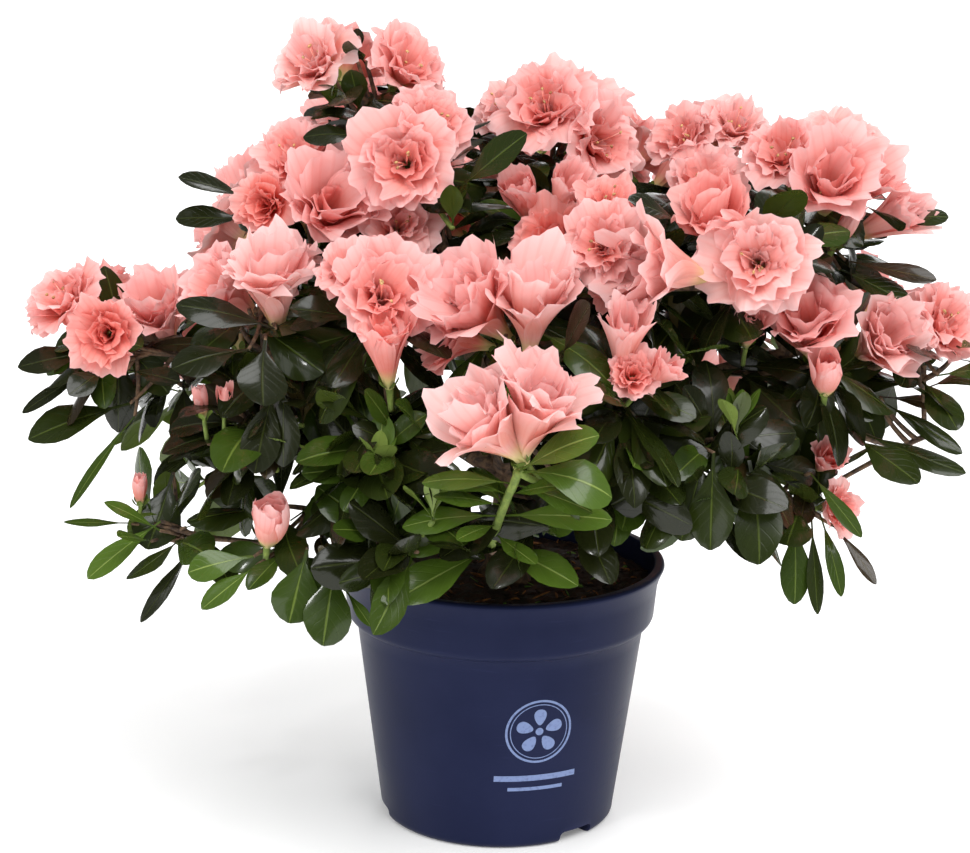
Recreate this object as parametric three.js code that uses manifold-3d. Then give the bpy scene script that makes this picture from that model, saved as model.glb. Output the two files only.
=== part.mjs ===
// Potted azalea shrub: a plastic nursery pot, its peat, one short stem, tapering boughs and the
// uneven masses of leaf and blossom that they carry.
// Millimetres, +Z up, front towards -Y, origin on the pot's axis at its flat underside.

import * as THREE from 'three';
import { mergeVertices } from 'three/addons/utils/BufferGeometryUtils.js';
import Module from 'manifold-3d';

const wasm = await Module();
wasm.setup();

// ---------------------------------------------------------------- driving dimensions

const POT_HEIGHT = 114;
const LIP_RADIUS = 70;
const LIP_DEPTH = 11;
const LIP_ROUNDING = 2.4;
const COLLAR_TOP_RADIUS = 67;
const COLLAR_FOOT = { radius: 66, height: 92 };
const SHOULDER = { radius: 61.7, height: 86.8 };
const SHOULDER_ROUNDING = { out: 0.6, up: 2 };
const FOOT_RADIUS = 50.5;
const FOOT_ROUNDING = 3.6;
const WALL = 1.5;
const FLOOR = 2.5;
const NOTCH = { height: 5, angle: 20.5, depth: 7, bearings: [42.5, -77.5, 162.5] };
const ROUND_SIDES = 28;

const PEAT_TOP = 104;
const PEAT_CROWN = 1.6;
const GAP = 0.3;

const STEM_FOOT = [3, 1, 106];
const STEM_FORK = [0, 3, 152];
const STEM_LEAN = [6, 0, 130];
const STEM_FOOT_RADIUS = 12;
const STEM_FORK_RADIUS = 6.5;
const STEM_FLARE = 2.5;
const ROOT_RIBS = 5;
const ROOT_RIB_DEPTH = 0.16;

const LIMB_SIDES = 6;
const LIMB_STEPS = 5;
const BEND_SHARE = 0.45;

const MASS_DETAIL = 3;
const MASS_UNEVENNESS = 0.13;
const MASS_CLEARANCE = 1.025;
// Waves over a mass: how many radians they turn across it, how far they shift from one mass to
// the next, and their share of the unevenness.
const BROAD_WAVES = { turnX: 2.3, shiftX: 1.7, turnY: 2.9, shiftY: 2.3, share: 0.35 };
const LOBES = { turnZ: 4.7, shiftZ: 3.1, turnX: 4.1, shiftX: 1.3, share: 0.6 };

// ---------------------------------------------------------------- colours

const navyPlastic = { color: 0x35375c, roughness: 0.42, metalness: 0 };
const darkPeat = { color: 0x2d1f18, roughness: 0.95, metalness: 0 };
const brownBark = { color: 0x5b4431, roughness: 0.85, metalness: 0 };
const leafGreen = { color: 0x2f4a22, roughness: 0.5, metalness: 0 };
const salmonBlossom = { color: 0xf7a39a, roughness: 0.6, metalness: 0 };

// ---------------------------------------------------------------- masses of leaf and blossom

// Centre and half-sizes of each mass: across (X), back (Y) and up (Z).
const MASSES = [
  // the crown's top
  { name: 'top_left', centre: [-65, 8, 318], half: [38, 34, 26], skin: salmonBlossom },
  { name: 'top_middle', centre: [23, 14, 293], half: [34, 36, 27], skin: salmonBlossom },
  { name: 'top_right', centre: [89, 22, 282], half: [33, 34, 26], skin: salmonBlossom },
  { name: 'top_far_right', centre: [134, 0, 270], half: [37, 34, 29], skin: salmonBlossom },
  { name: 'upper_left', centre: [-84, -14, 268], half: [36, 36, 29], skin: salmonBlossom },
  { name: 'upper_middle', centre: [-36, -24, 283], half: [30, 34, 32], skin: salmonBlossom },
  { name: 'inner_top', centre: [16, -36, 264], half: [27, 28, 27], skin: salmonBlossom },
  // the front, at mid height
  { name: 'far_left', centre: [-159, -20, 216], half: [38, 34, 36], skin: salmonBlossom },
  { name: 'left_shoulder', centre: [-100, -54, 233], half: [35, 34, 33], skin: salmonBlossom },
  { name: 'front_left', centre: [-46, -82, 232], half: [27, 29, 31], skin: salmonBlossom },
  { name: 'front_middle', centre: [2, -84, 240], half: [30, 31, 32], skin: salmonBlossom },
  { name: 'front_right', centre: [51, -66, 253], half: [31, 31, 31], skin: salmonBlossom },
  { name: 'right_shoulder', centre: [95, -50, 252], half: [32, 33, 31], skin: salmonBlossom },
  { name: 'right_middle', centre: [127, -44, 219], half: [31, 32, 31], skin: salmonBlossom },
  { name: 'far_right', centre: [170, -26, 214], half: [34, 33, 31], skin: salmonBlossom },
  { name: 'right_buds', centre: [50, -92, 216], half: [24, 25, 27], skin: salmonBlossom },
  { name: 'front_shoot', centre: [4, -130, 200], half: [35, 27, 35], skin: salmonBlossom },
  // the front's lower leaves
  { name: 'left_middle', centre: [-96, -60, 192], half: [36, 32, 29], skin: leafGreen },
  { name: 'front_inner_left', centre: [-46, -84, 188], half: [31, 30, 29], skin: leafGreen },
  { name: 'front_inner_right', centre: [42, -82, 184], half: [31, 30, 29], skin: leafGreen },
  { name: 'right_low', centre: [80, -74, 178], half: [32, 31, 33], skin: leafGreen },
  { name: 'low_far_left', centre: [-138, -38, 132], half: [35, 31, 33], skin: leafGreen },
  { name: 'low_left', centre: [-84, -64, 135], half: [35, 33, 38], skin: leafGreen },
  { name: 'low_front_left', centre: [-37, -94, 151], half: [34, 31, 31], skin: leafGreen },
  { name: 'low_front_right', centre: [22, -96, 156], half: [30, 31, 28], skin: leafGreen },
  { name: 'low_right', centre: [124, -46, 148], half: [33, 31, 42], skin: leafGreen },
  { name: 'low_far_right', centre: [173, -24, 178], half: [33, 32, 18], skin: leafGreen },
  // the sides and the back
  { name: 'side_left', centre: [-142, 42, 184], half: [39, 37, 36], skin: leafGreen },
  { name: 'side_right', centre: [152, 44, 200], half: [39, 38, 38], skin: salmonBlossom },
  { name: 'side_low_left', centre: [-118, 28, 142], half: [34, 36, 28], skin: leafGreen },
  { name: 'side_low_right', centre: [130, 24, 148], half: [36, 36, 30], skin: leafGreen },
  { name: 'back_top_left', centre: [-46, 62, 286], half: [42, 40, 31], skin: salmonBlossom },
  { name: 'back_top_right', centre: [42, 68, 281], half: [43, 40, 31], skin: salmonBlossom },
  { name: 'back_left', centre: [-106, 64, 242], half: [39, 38, 36], skin: salmonBlossom },
  { name: 'back_middle', centre: [-6, 112, 242], half: [43, 36, 38], skin: salmonBlossom },
  { name: 'back_right', centre: [96, 82, 240], half: [42, 38, 36], skin: salmonBlossom },
  { name: 'back_inner_left', centre: [-54, 94, 206], half: [34, 32, 33], skin: leafGreen },
  { name: 'back_inner_right', centre: [48, 100, 204], half: [34, 32, 33], skin: leafGreen },
  { name: 'back_low_left', centre: [-86, 92, 162], half: [41, 38, 37], skin: leafGreen },
  { name: 'back_low_middle', centre: [0, 130, 166], half: [43, 36, 37], skin: leafGreen },
  { name: 'back_low_right', centre: [88, 96, 162], half: [41, 38, 37], skin: leafGreen },
];

// ---------------------------------------------------------------- boughs

// A bough leaves the stem's fork, or its parent at a share of that one's length, and makes for the
// middle of a mass. rise lifts its bend above the straight line, in millimetres.
const BOUGHS = [
  { name: 'left', to: 'far_left', rise: 16, radius: 5.2 },
  { name: 'right', to: 'right_middle', rise: 14, radius: 5.2 },
  { name: 'back', to: 'back_middle', rise: 20, radius: 5.0 },
  { name: 'top', to: 'upper_middle', rise: 4, radius: 5.0 },
  { name: 'front', to: 'front_middle', rise: -10, radius: 4.6 },
  { name: 'top_right', from: 'right', at: 0.3, to: 'top_right', rise: -14, radius: 3.9 },
  { name: 'top_left', from: 'top', at: 0.4, to: 'top_left', rise: -6, radius: 3.6 },
  { name: 'back_left', from: 'left', at: 0.28, to: 'back_low_left', rise: 12, radius: 3.8 },
  { name: 'back_right', from: 'back', at: 0.25, to: 'back_low_right', rise: 12, radius: 3.8 },
  { name: 'low_left', from: 'left', at: 0.34, to: 'low_left', rise: 14, radius: 3.4 },
  { name: 'low_right', from: 'right', at: 0.3, to: 'right_low', rise: 12, radius: 3.4 },
  { name: 'top_middle', from: 'top', at: 0.3, to: 'top_middle', rise: -8, radius: 3.6 },
];
const TIP_SHARE = 0.42;

// ---------------------------------------------------------------- geometry helpers

const group = new THREE.Group();

function add(name, geometry, look) {
  const mesh = new THREE.Mesh(geometry, new THREE.MeshStandardMaterial(look));
  mesh.name = name;
  group.add(mesh);
}

function bareGeometry(geometry) {
  geometry.deleteAttribute('normal');
  geometry.deleteAttribute('uv');
  return mergeVertices(geometry, 1e-4);
}

function toSolid(geometry) {
  const bare = bareGeometry(geometry);
  return new wasm.Manifold(new wasm.Mesh({
    numProp: 3,
    vertProperties: new Float32Array(bare.attributes.position.array),
    triVerts: new Uint32Array(bare.index.array),
  }));
}

function toGeometry(solid) {
  const mesh = solid.getMesh();
  const geometry = new THREE.BufferGeometry();
  geometry.setAttribute('position', new THREE.BufferAttribute(mesh.vertProperties, 3));
  geometry.setIndex(new THREE.BufferAttribute(mesh.triVerts, 1));
  geometry.computeVertexNormals();
  return geometry;
}

// A body of revolution about Z from [radius, height] pairs that run from the axis to the axis,
// up the outside and down the inside.
function turned(profile) {
  const points = profile.map(([radius, height]) => new THREE.Vector2(radius, height));
  const geometry = new THREE.LatheGeometry(points, ROUND_SIDES);
  geometry.rotateX(Math.PI / 2);
  return toSolid(geometry);
}

// Points of a quarter round from one direction to another, both in degrees.
function roundCorner(centreRadius, centreHeight, radius, fromDegrees, toDegrees, steps) {
  return Array.from({ length: steps + 1 }, (_, i) => {
    const angle = THREE.MathUtils.degToRad(fromDegrees + (toDegrees - fromDegrees) * i / steps);
    return [centreRadius + radius * Math.cos(angle), centreHeight + radius * Math.sin(angle)];
  });
}

// ---------------------------------------------------------------- pot and peat

function potWall() {
  const lipFoot = POT_HEIGHT - LIP_DEPTH;
  const outside = [
    [0, 0],
    ...roundCorner(FOOT_RADIUS - FOOT_ROUNDING, FOOT_ROUNDING, FOOT_ROUNDING, -90, 0, 3),
    [SHOULDER.radius, SHOULDER.height],
    [
      (SHOULDER.radius + COLLAR_FOOT.radius) / 2 + SHOULDER_ROUNDING.out,
      SHOULDER.height + SHOULDER_ROUNDING.up,
    ],
    [COLLAR_FOOT.radius, COLLAR_FOOT.height],
    [COLLAR_TOP_RADIUS, lipFoot],
    ...roundCorner(LIP_RADIUS - LIP_ROUNDING, POT_HEIGHT - LIP_ROUNDING, LIP_ROUNDING, 0, 90, 2),
  ];
  const inside = [
    [COLLAR_TOP_RADIUS - WALL, POT_HEIGHT],
    [COLLAR_FOOT.radius - WALL, COLLAR_FOOT.height],
    [SHOULDER.radius - WALL, SHOULDER.height],
    [FOOT_RADIUS - WALL, FLOOR + FOOT_ROUNDING],
    [FOOT_RADIUS - WALL - FOOT_ROUNDING / 2, FLOOR],
    [0, FLOOR],
  ];
  return turned([...outside, ...inside]);
}

// A wedge that cuts one drainage notch through the wall's foot, at a bearing from the front.
function notchCutter(bearing) {
  const inner = FOOT_RADIUS - NOTCH.depth;
  const outer = FOOT_RADIUS + NOTCH.depth;
  const half = THREE.MathUtils.degToRad(NOTCH.angle / 2);
  const shape = new THREE.Shape();
  shape.absarc(0, 0, outer, -half, half, false);
  shape.absarc(0, 0, inner, half, -half, true);
  const cutter = new THREE.ExtrudeGeometry(shape, {
    depth: NOTCH.height * 2, bevelEnabled: false, curveSegments: 3,
  });
  cutter.translate(0, 0, -NOTCH.height);
  cutter.rotateZ(THREE.MathUtils.degToRad(bearing - 90));
  return toSolid(cutter);
}

function pot() {
  let solid = potWall();
  for (const bearing of NOTCH.bearings) {
    solid = solid.subtract(notchCutter(bearing));
  }
  return toGeometry(solid);
}

function peat() {
  const clear = WALL + GAP;
  const floor = FLOOR + GAP;
  const share = (PEAT_TOP - COLLAR_FOOT.height) / (POT_HEIGHT - COLLAR_FOOT.height);
  const edge = THREE.MathUtils.lerp(COLLAR_FOOT.radius, COLLAR_TOP_RADIUS, share) - clear;
  return toGeometry(turned([
    [0, floor],
    [FOOT_RADIUS - clear - FOOT_ROUNDING / 2 - GAP, floor],
    [FOOT_RADIUS - clear - GAP, floor + FOOT_ROUNDING],
    [SHOULDER.radius - clear - GAP, SHOULDER.height],
    [COLLAR_FOOT.radius - clear - GAP, COLLAR_FOOT.height],
    [edge - GAP, PEAT_TOP],
    [0, PEAT_TOP + PEAT_CROWN],
  ]));
}

// ---------------------------------------------------------------- stem and boughs

// A round bar bent along a curve, its radius given by radiusAt(share, angle).
function limb(curve, radiusAt, grow = 0) {
  const bar = new THREE.CylinderGeometry(1, 1, 1, LIMB_SIDES, LIMB_STEPS);
  const frames = curve.computeFrenetFrames(LIMB_STEPS, false);
  const position = bar.attributes.position;
  for (let i = 0; i < position.count; i += 1) {
    const step = Math.round((position.getY(i) + 0.5) * LIMB_STEPS);
    const share = step / LIMB_STEPS;
    const side = position.getX(i);
    const back = position.getZ(i);
    const radius = radiusAt(share, Math.atan2(back, side)) + grow;
    const point = curve.getPointAt(share)
      .addScaledVector(frames.normals[step], -side * radius)
      .addScaledVector(frames.binormals[step], back * radius);
    position.setXYZ(i, point.x, point.y, point.z);
  }
  return toSolid(bar);
}

const stemCurve = new THREE.QuadraticBezierCurve3(
  new THREE.Vector3(...STEM_FOOT), new THREE.Vector3(...STEM_LEAN), new THREE.Vector3(...STEM_FORK),
);

function stemRadius(share, angle) {
  const flare = (1 - share) ** STEM_FLARE;
  const rib = 1 + ROOT_RIB_DEPTH * flare * Math.cos(ROOT_RIBS * angle);
  return (STEM_FORK_RADIUS + (STEM_FOOT_RADIUS - STEM_FORK_RADIUS) * flare) * rib;
}

// The stem is cut flat where it leaves the peat.
function stem(grow = 0) {
  return limb(stemCurve, stemRadius, grow).trimByPlane([0, 0, 1], STEM_FOOT[2] + GAP);
}

function massNamed(name) {
  return MASSES.find((mass) => mass.name === name);
}

function boughCurve(bough, curves) {
  const start = bough.from
    ? curves[bough.from].getPointAt(bough.at)
    : new THREE.Vector3(...STEM_FORK);
  const end = new THREE.Vector3(...massNamed(bough.to).centre);
  const bend = start.clone().lerp(end, BEND_SHARE);
  bend.z += bough.rise;
  return new THREE.QuadraticBezierCurve3(start, bend, end);
}

function boughSolid(bough, curve, grow = 0) {
  const tip = bough.radius * TIP_SHARE;
  return limb(curve, (share) => THREE.MathUtils.lerp(bough.radius, tip, share), grow);
}

// The piece whose vertices come nearest to a point.
function pieceNearest(solid, point) {
  let best = null;
  let bestDistance = Infinity;
  for (const piece of solid.decompose()) {
    const { vertProperties } = piece.getMesh();
    for (let i = 0; i < vertProperties.length; i += 3) {
      const distance = point.distanceTo(new THREE.Vector3().fromArray(vertProperties, i));
      if (distance < bestDistance) {
        bestDistance = distance;
        best = piece;
      }
    }
  }
  return best;
}

// Every bough, cut back from the stem and from the boughs before it, and ended at each mass.
function boughs(masses) {
  const curves = {};
  const limbs = {};
  const taken = [stem(GAP)];
  for (const bough of BOUGHS) {
    const curve = boughCurve(bough, curves);
    curves[bough.name] = curve;
    let solid = boughSolid(bough, curve);
    for (const other of [...taken, ...masses]) {
      solid = solid.subtract(other);
    }
    limbs[bough.name] = pieceNearest(solid, curve.getPointAt(0));
    taken.push(boughSolid(bough, curve, GAP));
  }
  return limbs;
}

// ---------------------------------------------------------------- masses

// Uneven swelling of a mass in a direction, different for each number.
function swelling(direction, number) {
  const { x, y, z } = direction;
  const broad = Math.sin(BROAD_WAVES.turnX * x + BROAD_WAVES.shiftX * number)
    + Math.sin(BROAD_WAVES.turnY * y + BROAD_WAVES.shiftY * number);
  const lobes = Math.sin(LOBES.turnZ * z + LOBES.shiftZ * number)
    * Math.cos(LOBES.turnX * x - LOBES.shiftX * number);
  return 1 + MASS_UNEVENNESS * (BROAD_WAVES.share * broad + LOBES.share * lobes);
}

function unevenBall(mass, number) {
  const ball = new THREE.OctahedronGeometry(1, MASS_DETAIL);
  const position = ball.attributes.position;
  const direction = new THREE.Vector3();
  for (let i = 0; i < position.count; i += 1) {
    direction.fromBufferAttribute(position, i);
    const size = swelling(direction, number);
    position.setXYZ(
      i,
      mass.centre[0] + direction.x * mass.half[0] * size,
      mass.centre[1] + direction.y * mass.half[1] * size,
      mass.centre[2] + direction.z * mass.half[2] * size,
    );
  }
  return toSolid(ball);
}

// How far a mass reaches from its centre in a direction, before its unevenness.
function reach(mass, direction) {
  return 1 / Math.hypot(...mass.half.map((half, i) => direction[i] / half));
}

// Cuts a mass by the plane that shares the way between it and another by their reach.
function cutBeside(solid, mass, other) {
  const away = mass.centre.map((value, i) => value - other.centre[i]);
  const distance = Math.hypot(...away);
  const normal = away.map((value) => value / distance);
  const own = reach(mass, normal);
  const share = distance * own / (own + reach(other, normal));
  const centreOffset = mass.centre.reduce((sum, value, i) => sum + value * normal[i], 0);
  return solid.trimByPlane(normal, centreOffset - share + GAP / 2);
}

function massSolid(mass, number) {
  let solid = unevenBall(mass, number);
  for (const other of MASSES) {
    if (other !== mass) {
      solid = cutBeside(solid, mass, other);
    }
  }
  return solid;
}

// The same mass a little larger, to keep a bough's end clear of it.
function swollen(solid, mass) {
  const back = mass.centre.map((value) => -value);
  return solid.translate(back).scale(MASS_CLEARANCE).translate(mass.centre);
}

// ---------------------------------------------------------------- the plant in its pot

const massSolids = MASSES.map((mass, number) => massSolid(mass, number));

add('pot', pot(), navyPlastic);
add('peat', peat(), darkPeat);
add('stem', toGeometry(stem()), brownBark);

const limbs = boughs(massSolids.map((solid, i) => swollen(solid, MASSES[i])));
for (const bough of BOUGHS) {
  add(`bough_${bough.name}`, toGeometry(limbs[bough.name]), brownBark);
}
MASSES.forEach((mass, i) => {
  add(`mass_${mass.name}`, toGeometry(massSolids[i]), mass.skin);
});

export default group;
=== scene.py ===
"""Potted azalea in full bloom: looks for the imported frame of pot, peat, stem, boughs and masses."""
import math

import bmesh
import bpy
import numpy as np
from mathutils import Matrix, Vector, noise


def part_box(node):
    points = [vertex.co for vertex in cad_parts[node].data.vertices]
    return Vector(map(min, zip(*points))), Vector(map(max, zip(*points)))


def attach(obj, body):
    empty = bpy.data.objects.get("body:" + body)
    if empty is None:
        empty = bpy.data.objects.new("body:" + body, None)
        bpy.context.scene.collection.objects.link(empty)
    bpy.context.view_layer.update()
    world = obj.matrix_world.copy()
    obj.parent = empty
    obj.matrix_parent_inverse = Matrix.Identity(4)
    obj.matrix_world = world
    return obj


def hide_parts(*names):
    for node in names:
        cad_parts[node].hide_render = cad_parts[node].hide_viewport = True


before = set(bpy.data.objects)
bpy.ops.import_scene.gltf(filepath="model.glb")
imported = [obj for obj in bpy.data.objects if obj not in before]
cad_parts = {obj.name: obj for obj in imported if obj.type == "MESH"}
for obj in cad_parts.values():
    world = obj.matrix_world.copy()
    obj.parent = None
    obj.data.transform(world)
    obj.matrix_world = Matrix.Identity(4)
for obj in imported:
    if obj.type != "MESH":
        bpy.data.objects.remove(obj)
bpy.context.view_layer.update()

MM = 0.001
UP = np.array([0.0, 0.0, 1.0])
GOLDEN_ANGLE = math.radians(137.5)
rng = np.random.default_rng(14)

# ------------------------------------------------------------------ sizes, in millimetres

POT_HEIGHT = 114
LIP_RADIUS = 70
LIP_DEPTH = 11
LIP_ROUNDING = 1.6
INNER_ROUNDING = 0.8
COLLAR_TOP_RADIUS = 67
COLLAR_FOOT = (66, 92)
COLLAR_ROUNDING = 4.4
SHOULDER = (61.7, 86.8)
FOOT_RADIUS = 50.5
FOOT_ROUNDING = 3.6
WALL = 1.3
POT_FLOOR = 2.5
NOTCH_HEIGHT = 5
NOTCH_ANGLE = 20.5
NOTCH_DEPTH = 9
NOTCH_BEARINGS = (42.5, -77.5, 162.5)
POT_STEPS = 160

EMBLEM_BEARING = 17
EMBLEM_HEIGHT = 55
EMBLEM_RADIUS = 14.5
EMBLEM_PETALS = 5
EMBLEM_LIFT = 0.10
EMBLEM_BARS = ((36, 2.6, -21.5), (24, 1.6, -26.5))
INK_THICKNESS = 0.06

PEAT_EDGE = 104
PEAT_CROWN = 1.6
PEAT_GAP = 0.6
PEAT_SIDE = 10
PEAT_BITS = 620

STEM_FOOT = (3, 1, 103)
STEM_LEAN = (6, 0, 130)
STEM_FORK = (0, 3, 152)
STEM_FOOT_RADIUS = 12
STEM_FORK_RADIUS = 6.5
ROOT_RIBS = 5
ROOT_RIB_DEPTH = 0.16

# A bough: name, the mass it makes for, rise of its bend, thickness, parent, share of the parent.
BOUGHS = (
    ("left", "far_left", 16, 5.2, None, 0),
    ("right", "right_middle", 14, 5.2, None, 0),
    ("back", "back_middle", 20, 5.0, None, 0),
    ("top", "upper_middle", 4, 5.0, None, 0),
    ("front", "front_middle", -10, 4.6, None, 0),
    ("top_right", "top_right", -14, 3.9, "right", 0.3),
    ("top_left", "top_left", -6, 3.6, "top", 0.4),
    ("back_left", "back_low_left", 12, 3.8, "left", 0.28),
    ("back_right", "back_low_right", 12, 3.8, "back", 0.25),
    ("low_left", "low_left", 14, 3.4, "left", 0.34),
    ("low_right", "right_low", 12, 3.4, "right", 0.3),
    ("top_middle", "top_middle", -8, 3.6, "top", 0.3),
)
BOUGH_TIP_SHARE = 0.42
SIDE_BOUGH_RADII = (2.4, 1.3)
SIDE_BOUGH_STEPS = 12

# Tints of leaves and barks of twigs, by their place among their materials.
NEARLY_BLACK, DEEP_GREEN, MID_GREEN, YOUNG_GREEN, RUSSET = range(5)
TWIG_BARK, TWIG_GREEN = range(2)

MASSES = sorted(name[5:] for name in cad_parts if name.startswith("mass_"))

# ------------------------------------------------------------------ where the blooms sit

# A bloom: place in its mass's box from -1 to 1 (across, back, up), bearing it faces (0 is the
# front, + to the right), elevation it faces, size, kind and tone (0 palest, 2 deepest).
BLOOMS = {
    "top_left": (
        (-0.48, -0.1, 0.30, -40, 40, 0.98, "open", 0),
        (0.56, -0.1, 0.22, 45, 45, 0.95, "open", 1),
        (-0.1, 0.6, 0.20, 160, 40, 0.90, "open", 1),
    ),
    "upper_middle": (
        (0.15, -0.2, 0.60, 25, 45, 0.92, "open", 1),
        (-0.2, -0.6, 0.18, -5, 15, 1.02, "open", 1),
        (-0.27, -0.5, -0.63, 10, 25, 0.80, "open", 0),
    ),
    "upper_left": (
        (-0.07, 0.0, 0.60, -20, 45, 0.92, "open", 1),
        (-0.4, -0.6, 0.10, -25, 10, 0.80, "rosette", 2),
        (0.42, -0.6, 0.10, 20, 40, 1.02, "cup", 1),
        (-0.4, 0.6, 0.30, -120, 40, 0.85, "open", 1),
    ),
    "left_shoulder": (
        (0.2, -0.5, 0.38, -10, 68, 1.12, "cup", 0),
        (-0.46, 0.0, 0.05, -60, 35, 0.90, "cup", 1),
        (0.2, 0.6, 0.20, 10, 60, 0.85, "open", 1),
    ),
    "far_left": (
        (-0.6, -0.2, 0.40, -50, 40, 0.88, "open", 1),
        (-0.1, -0.65, 0.10, -5, 10, 0.92, "rosette", 2),
        (0.36, 0.0, 0.25, -25, 55, 0.92, "cup", 1),
        (-0.3, 0.6, 0.30, -150, 40, 0.85, "open", 1),
    ),
    "front_left": (
        (-0.5, -0.2, 0.60, -20, 50, 0.75, "open", 1),
        (0.0, -0.5, 0.35, 10, 30, 1.00, "open", 1),
        (0.05, -0.7, -0.30, -10, 68, 1.10, "half", 2),
    ),
    "front_middle": (
        (-0.62, -0.4, 0.20, -52, 40, 1.05, "cup", 1),
        (0.22, -0.5, 0.28, 8, 75, 1.05, "cup", 0),
        (-0.42, 0.1, 0.30, -15, 50, 0.62, "open", 1),
        (-0.9, -0.2, -0.30, -65, 15, 0.78, "cup", 2),
    ),
    "inner_top": (
        (0.07, -0.6, -0.10, -10, 25, 1.00, "rosette", 2),
        (-0.33, -0.2, 0.42, -20, 50, 0.92, "half", 1),
        (0.25, -0.2, 0.53, 30, 50, 0.88, "half", 0),
    ),
    "top_middle": (
        (-0.27, -0.4, 0.48, -15, 40, 1.05, "open", 1),
        (0.43, -0.4, 0.00, 40, 15, 1.00, "open", 1),
        (0.13, 0.2, 0.49, 20, 65, 0.80, "open", 0),
        (-0.72, 0.0, 0.40, -40, 50, 0.75, "open", 0),
    ),
    "front_right": (
        (0.25, -0.6, 0.12, -62, 12, 1.12, "cup", 0),
        (-0.45, -0.4, 0.37, -15, 25, 0.80, "open", 1),
        (-0.35, 0.2, 0.78, 0, 60, 0.70, "open", 2),
        (-0.3, -0.3, -0.15, -5, 10, 0.60, "rosette", 2),
    ),
    "right_shoulder": (
        (0.0, -0.75, 0.15, -12, 18, 1.08, "open", 0),
        (-0.53, -0.3, 0.60, -15, 62, 0.85, "cup", 2),
        (0.0, -0.4, -0.72, 5, 50, 0.70, "half", 1),
    ),
    "top_right": (
        (-0.45, -0.1, 0.40, -35, 45, 0.78, "open", 1),
        (0.22, 0.0, 0.60, 5, 60, 0.80, "open", 0),
        (-0.2, -0.7, -0.25, -5, 45, 0.85, "open", 1),
        (0.0, 0.6, 0.30, 150, 50, 0.90, "open", 1),
    ),
    "top_far_right": (
        (-0.64, -0.2, 0.75, -20, 45, 0.85, "open", 1),
        (0.0, 0.2, 0.90, 10, 60, 0.80, "open", 0),
        (-0.12, -0.6, 0.45, 5, 45, 1.00, "cup", 1),
        (0.6, -0.1, -0.17, 68, 30, 1.10, "half", 0),
        (0.3, 0.3, 0.28, 45, 50, 0.88, "cup", 1),
        (0.08, -0.5, -0.20, 40, 55, 0.90, "bud", 0),
    ),
    "right_middle": (
        (-0.25, -0.5, 0.42, -20, 48, 1.00, "cup", 1),
        (0.03, -0.8, -0.20, 0, 60, 0.95, "plump", 1),
    ),
    "far_right": (
        (-0.53, -0.5, 0.20, 25, 35, 1.02, "cup", 0),
        (0.22, 0.0, 0.27, 45, 38, 0.92, "open", 1),
        (0.1, 0.6, 0.20, 140, 40, 0.90, "open", 1),
    ),
    "right_buds": (
        (-0.27, -0.4, 0.55, 5, 75, 0.95, "half", 0),
        (-0.1, -0.6, 0.08, 5, 30, 0.68, "rosette", 1),
        (0.35, -0.6, 0.10, 55, 40, 0.62, "half", 1),
    ),
    "front_shoot": (
        (-0.36, -0.28, 0.18, -60, 42, 0.96, "cup", 0),
        (0.24, -0.2, 0.36, 38, 66, 1.10, "funnel", 0),
    ),
    "left_middle": (
        (-0.6, -0.4, 0.34, -30, 75, 0.56, "bud", 1),
        (-0.35, -0.5, 0.37, 15, 75, 0.50, "bud", 2),
    ),
    "low_left": (
        (-0.27, -0.8, 0.50, 12, 62, 1.10, "plump", 0),
    ),
    "low_far_left": (
        (-0.24, -0.4, 0.79, -10, 80, 0.55, "bud", 1),
    ),
    "back_top_right": (
        (-0.6, 0.3, 0.25, 165, 50, 1.05, "open", 1),
        (-0.1, 0.8, 0.15, 175, 35, 1.0, "cup", 0),
        (0.45, 0.5, -0.1, 150, 40, 1.0, "open", 1),
        (0.8, 0.2, -0.35, 120, 45, 0.9, "half", 1),
        (0.1, 0.9, -0.55, 160, 15, 1.05, "open", 0),
    ),
    "side_right": (
        (0.3, 0.4, 0.5, 120, 40, 1.0, "open", 1),
        (-0.2, 0.8, 0.3, 150, 40, 1.0, "cup", 0),
        (0.5, 0.6, -0.1, 110, 25, 1.0, "open", 0),
        (0.0, 0.9, -0.5, 160, 15, 0.95, "rosette", 1),
    ),
    "side_left": (
        (0.1, 0.7, 0.2, -140, 35, 1.0, "open", 1),
        (0.5, 0.8, 0.6, -160, 45, 0.95, "cup", 0),
    ),
    "low_right": (
        (0.2, -0.4, 0.65, 20, 40, 0.62, "half", 1),
        (0.37, -0.5, 0.18, 50, 10, 0.72, "rosette", 1),
    ),
}

# Masses of blossom round the sides and back, and how many blooms each gets by rule.
RULED_BLOOMS = {
    "back_top_left": 5, "back_left": 5,
    "back_middle": 6, "back_right": 5, "back_low_left": 1, "back_low_right": 2,
    "back_inner_left": 1, "back_inner_right": 1,
}

# Leafy sprays on a mass, where it isn't the usual number.
SPRAYS = {
    "front_shoot": 0, "low_front_right": 4, "low_far_left": 5, "low_far_right": 1, "far_left": 2,
    "low_left": 5, "low_right": 5, "right_buds": 4, "front_inner_right": 7, "low_front_left": 9,
    "side_left": 6, "side_low_left": 4, "side_low_right": 5, "side_right": 4, "far_right": 3,
}

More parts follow.
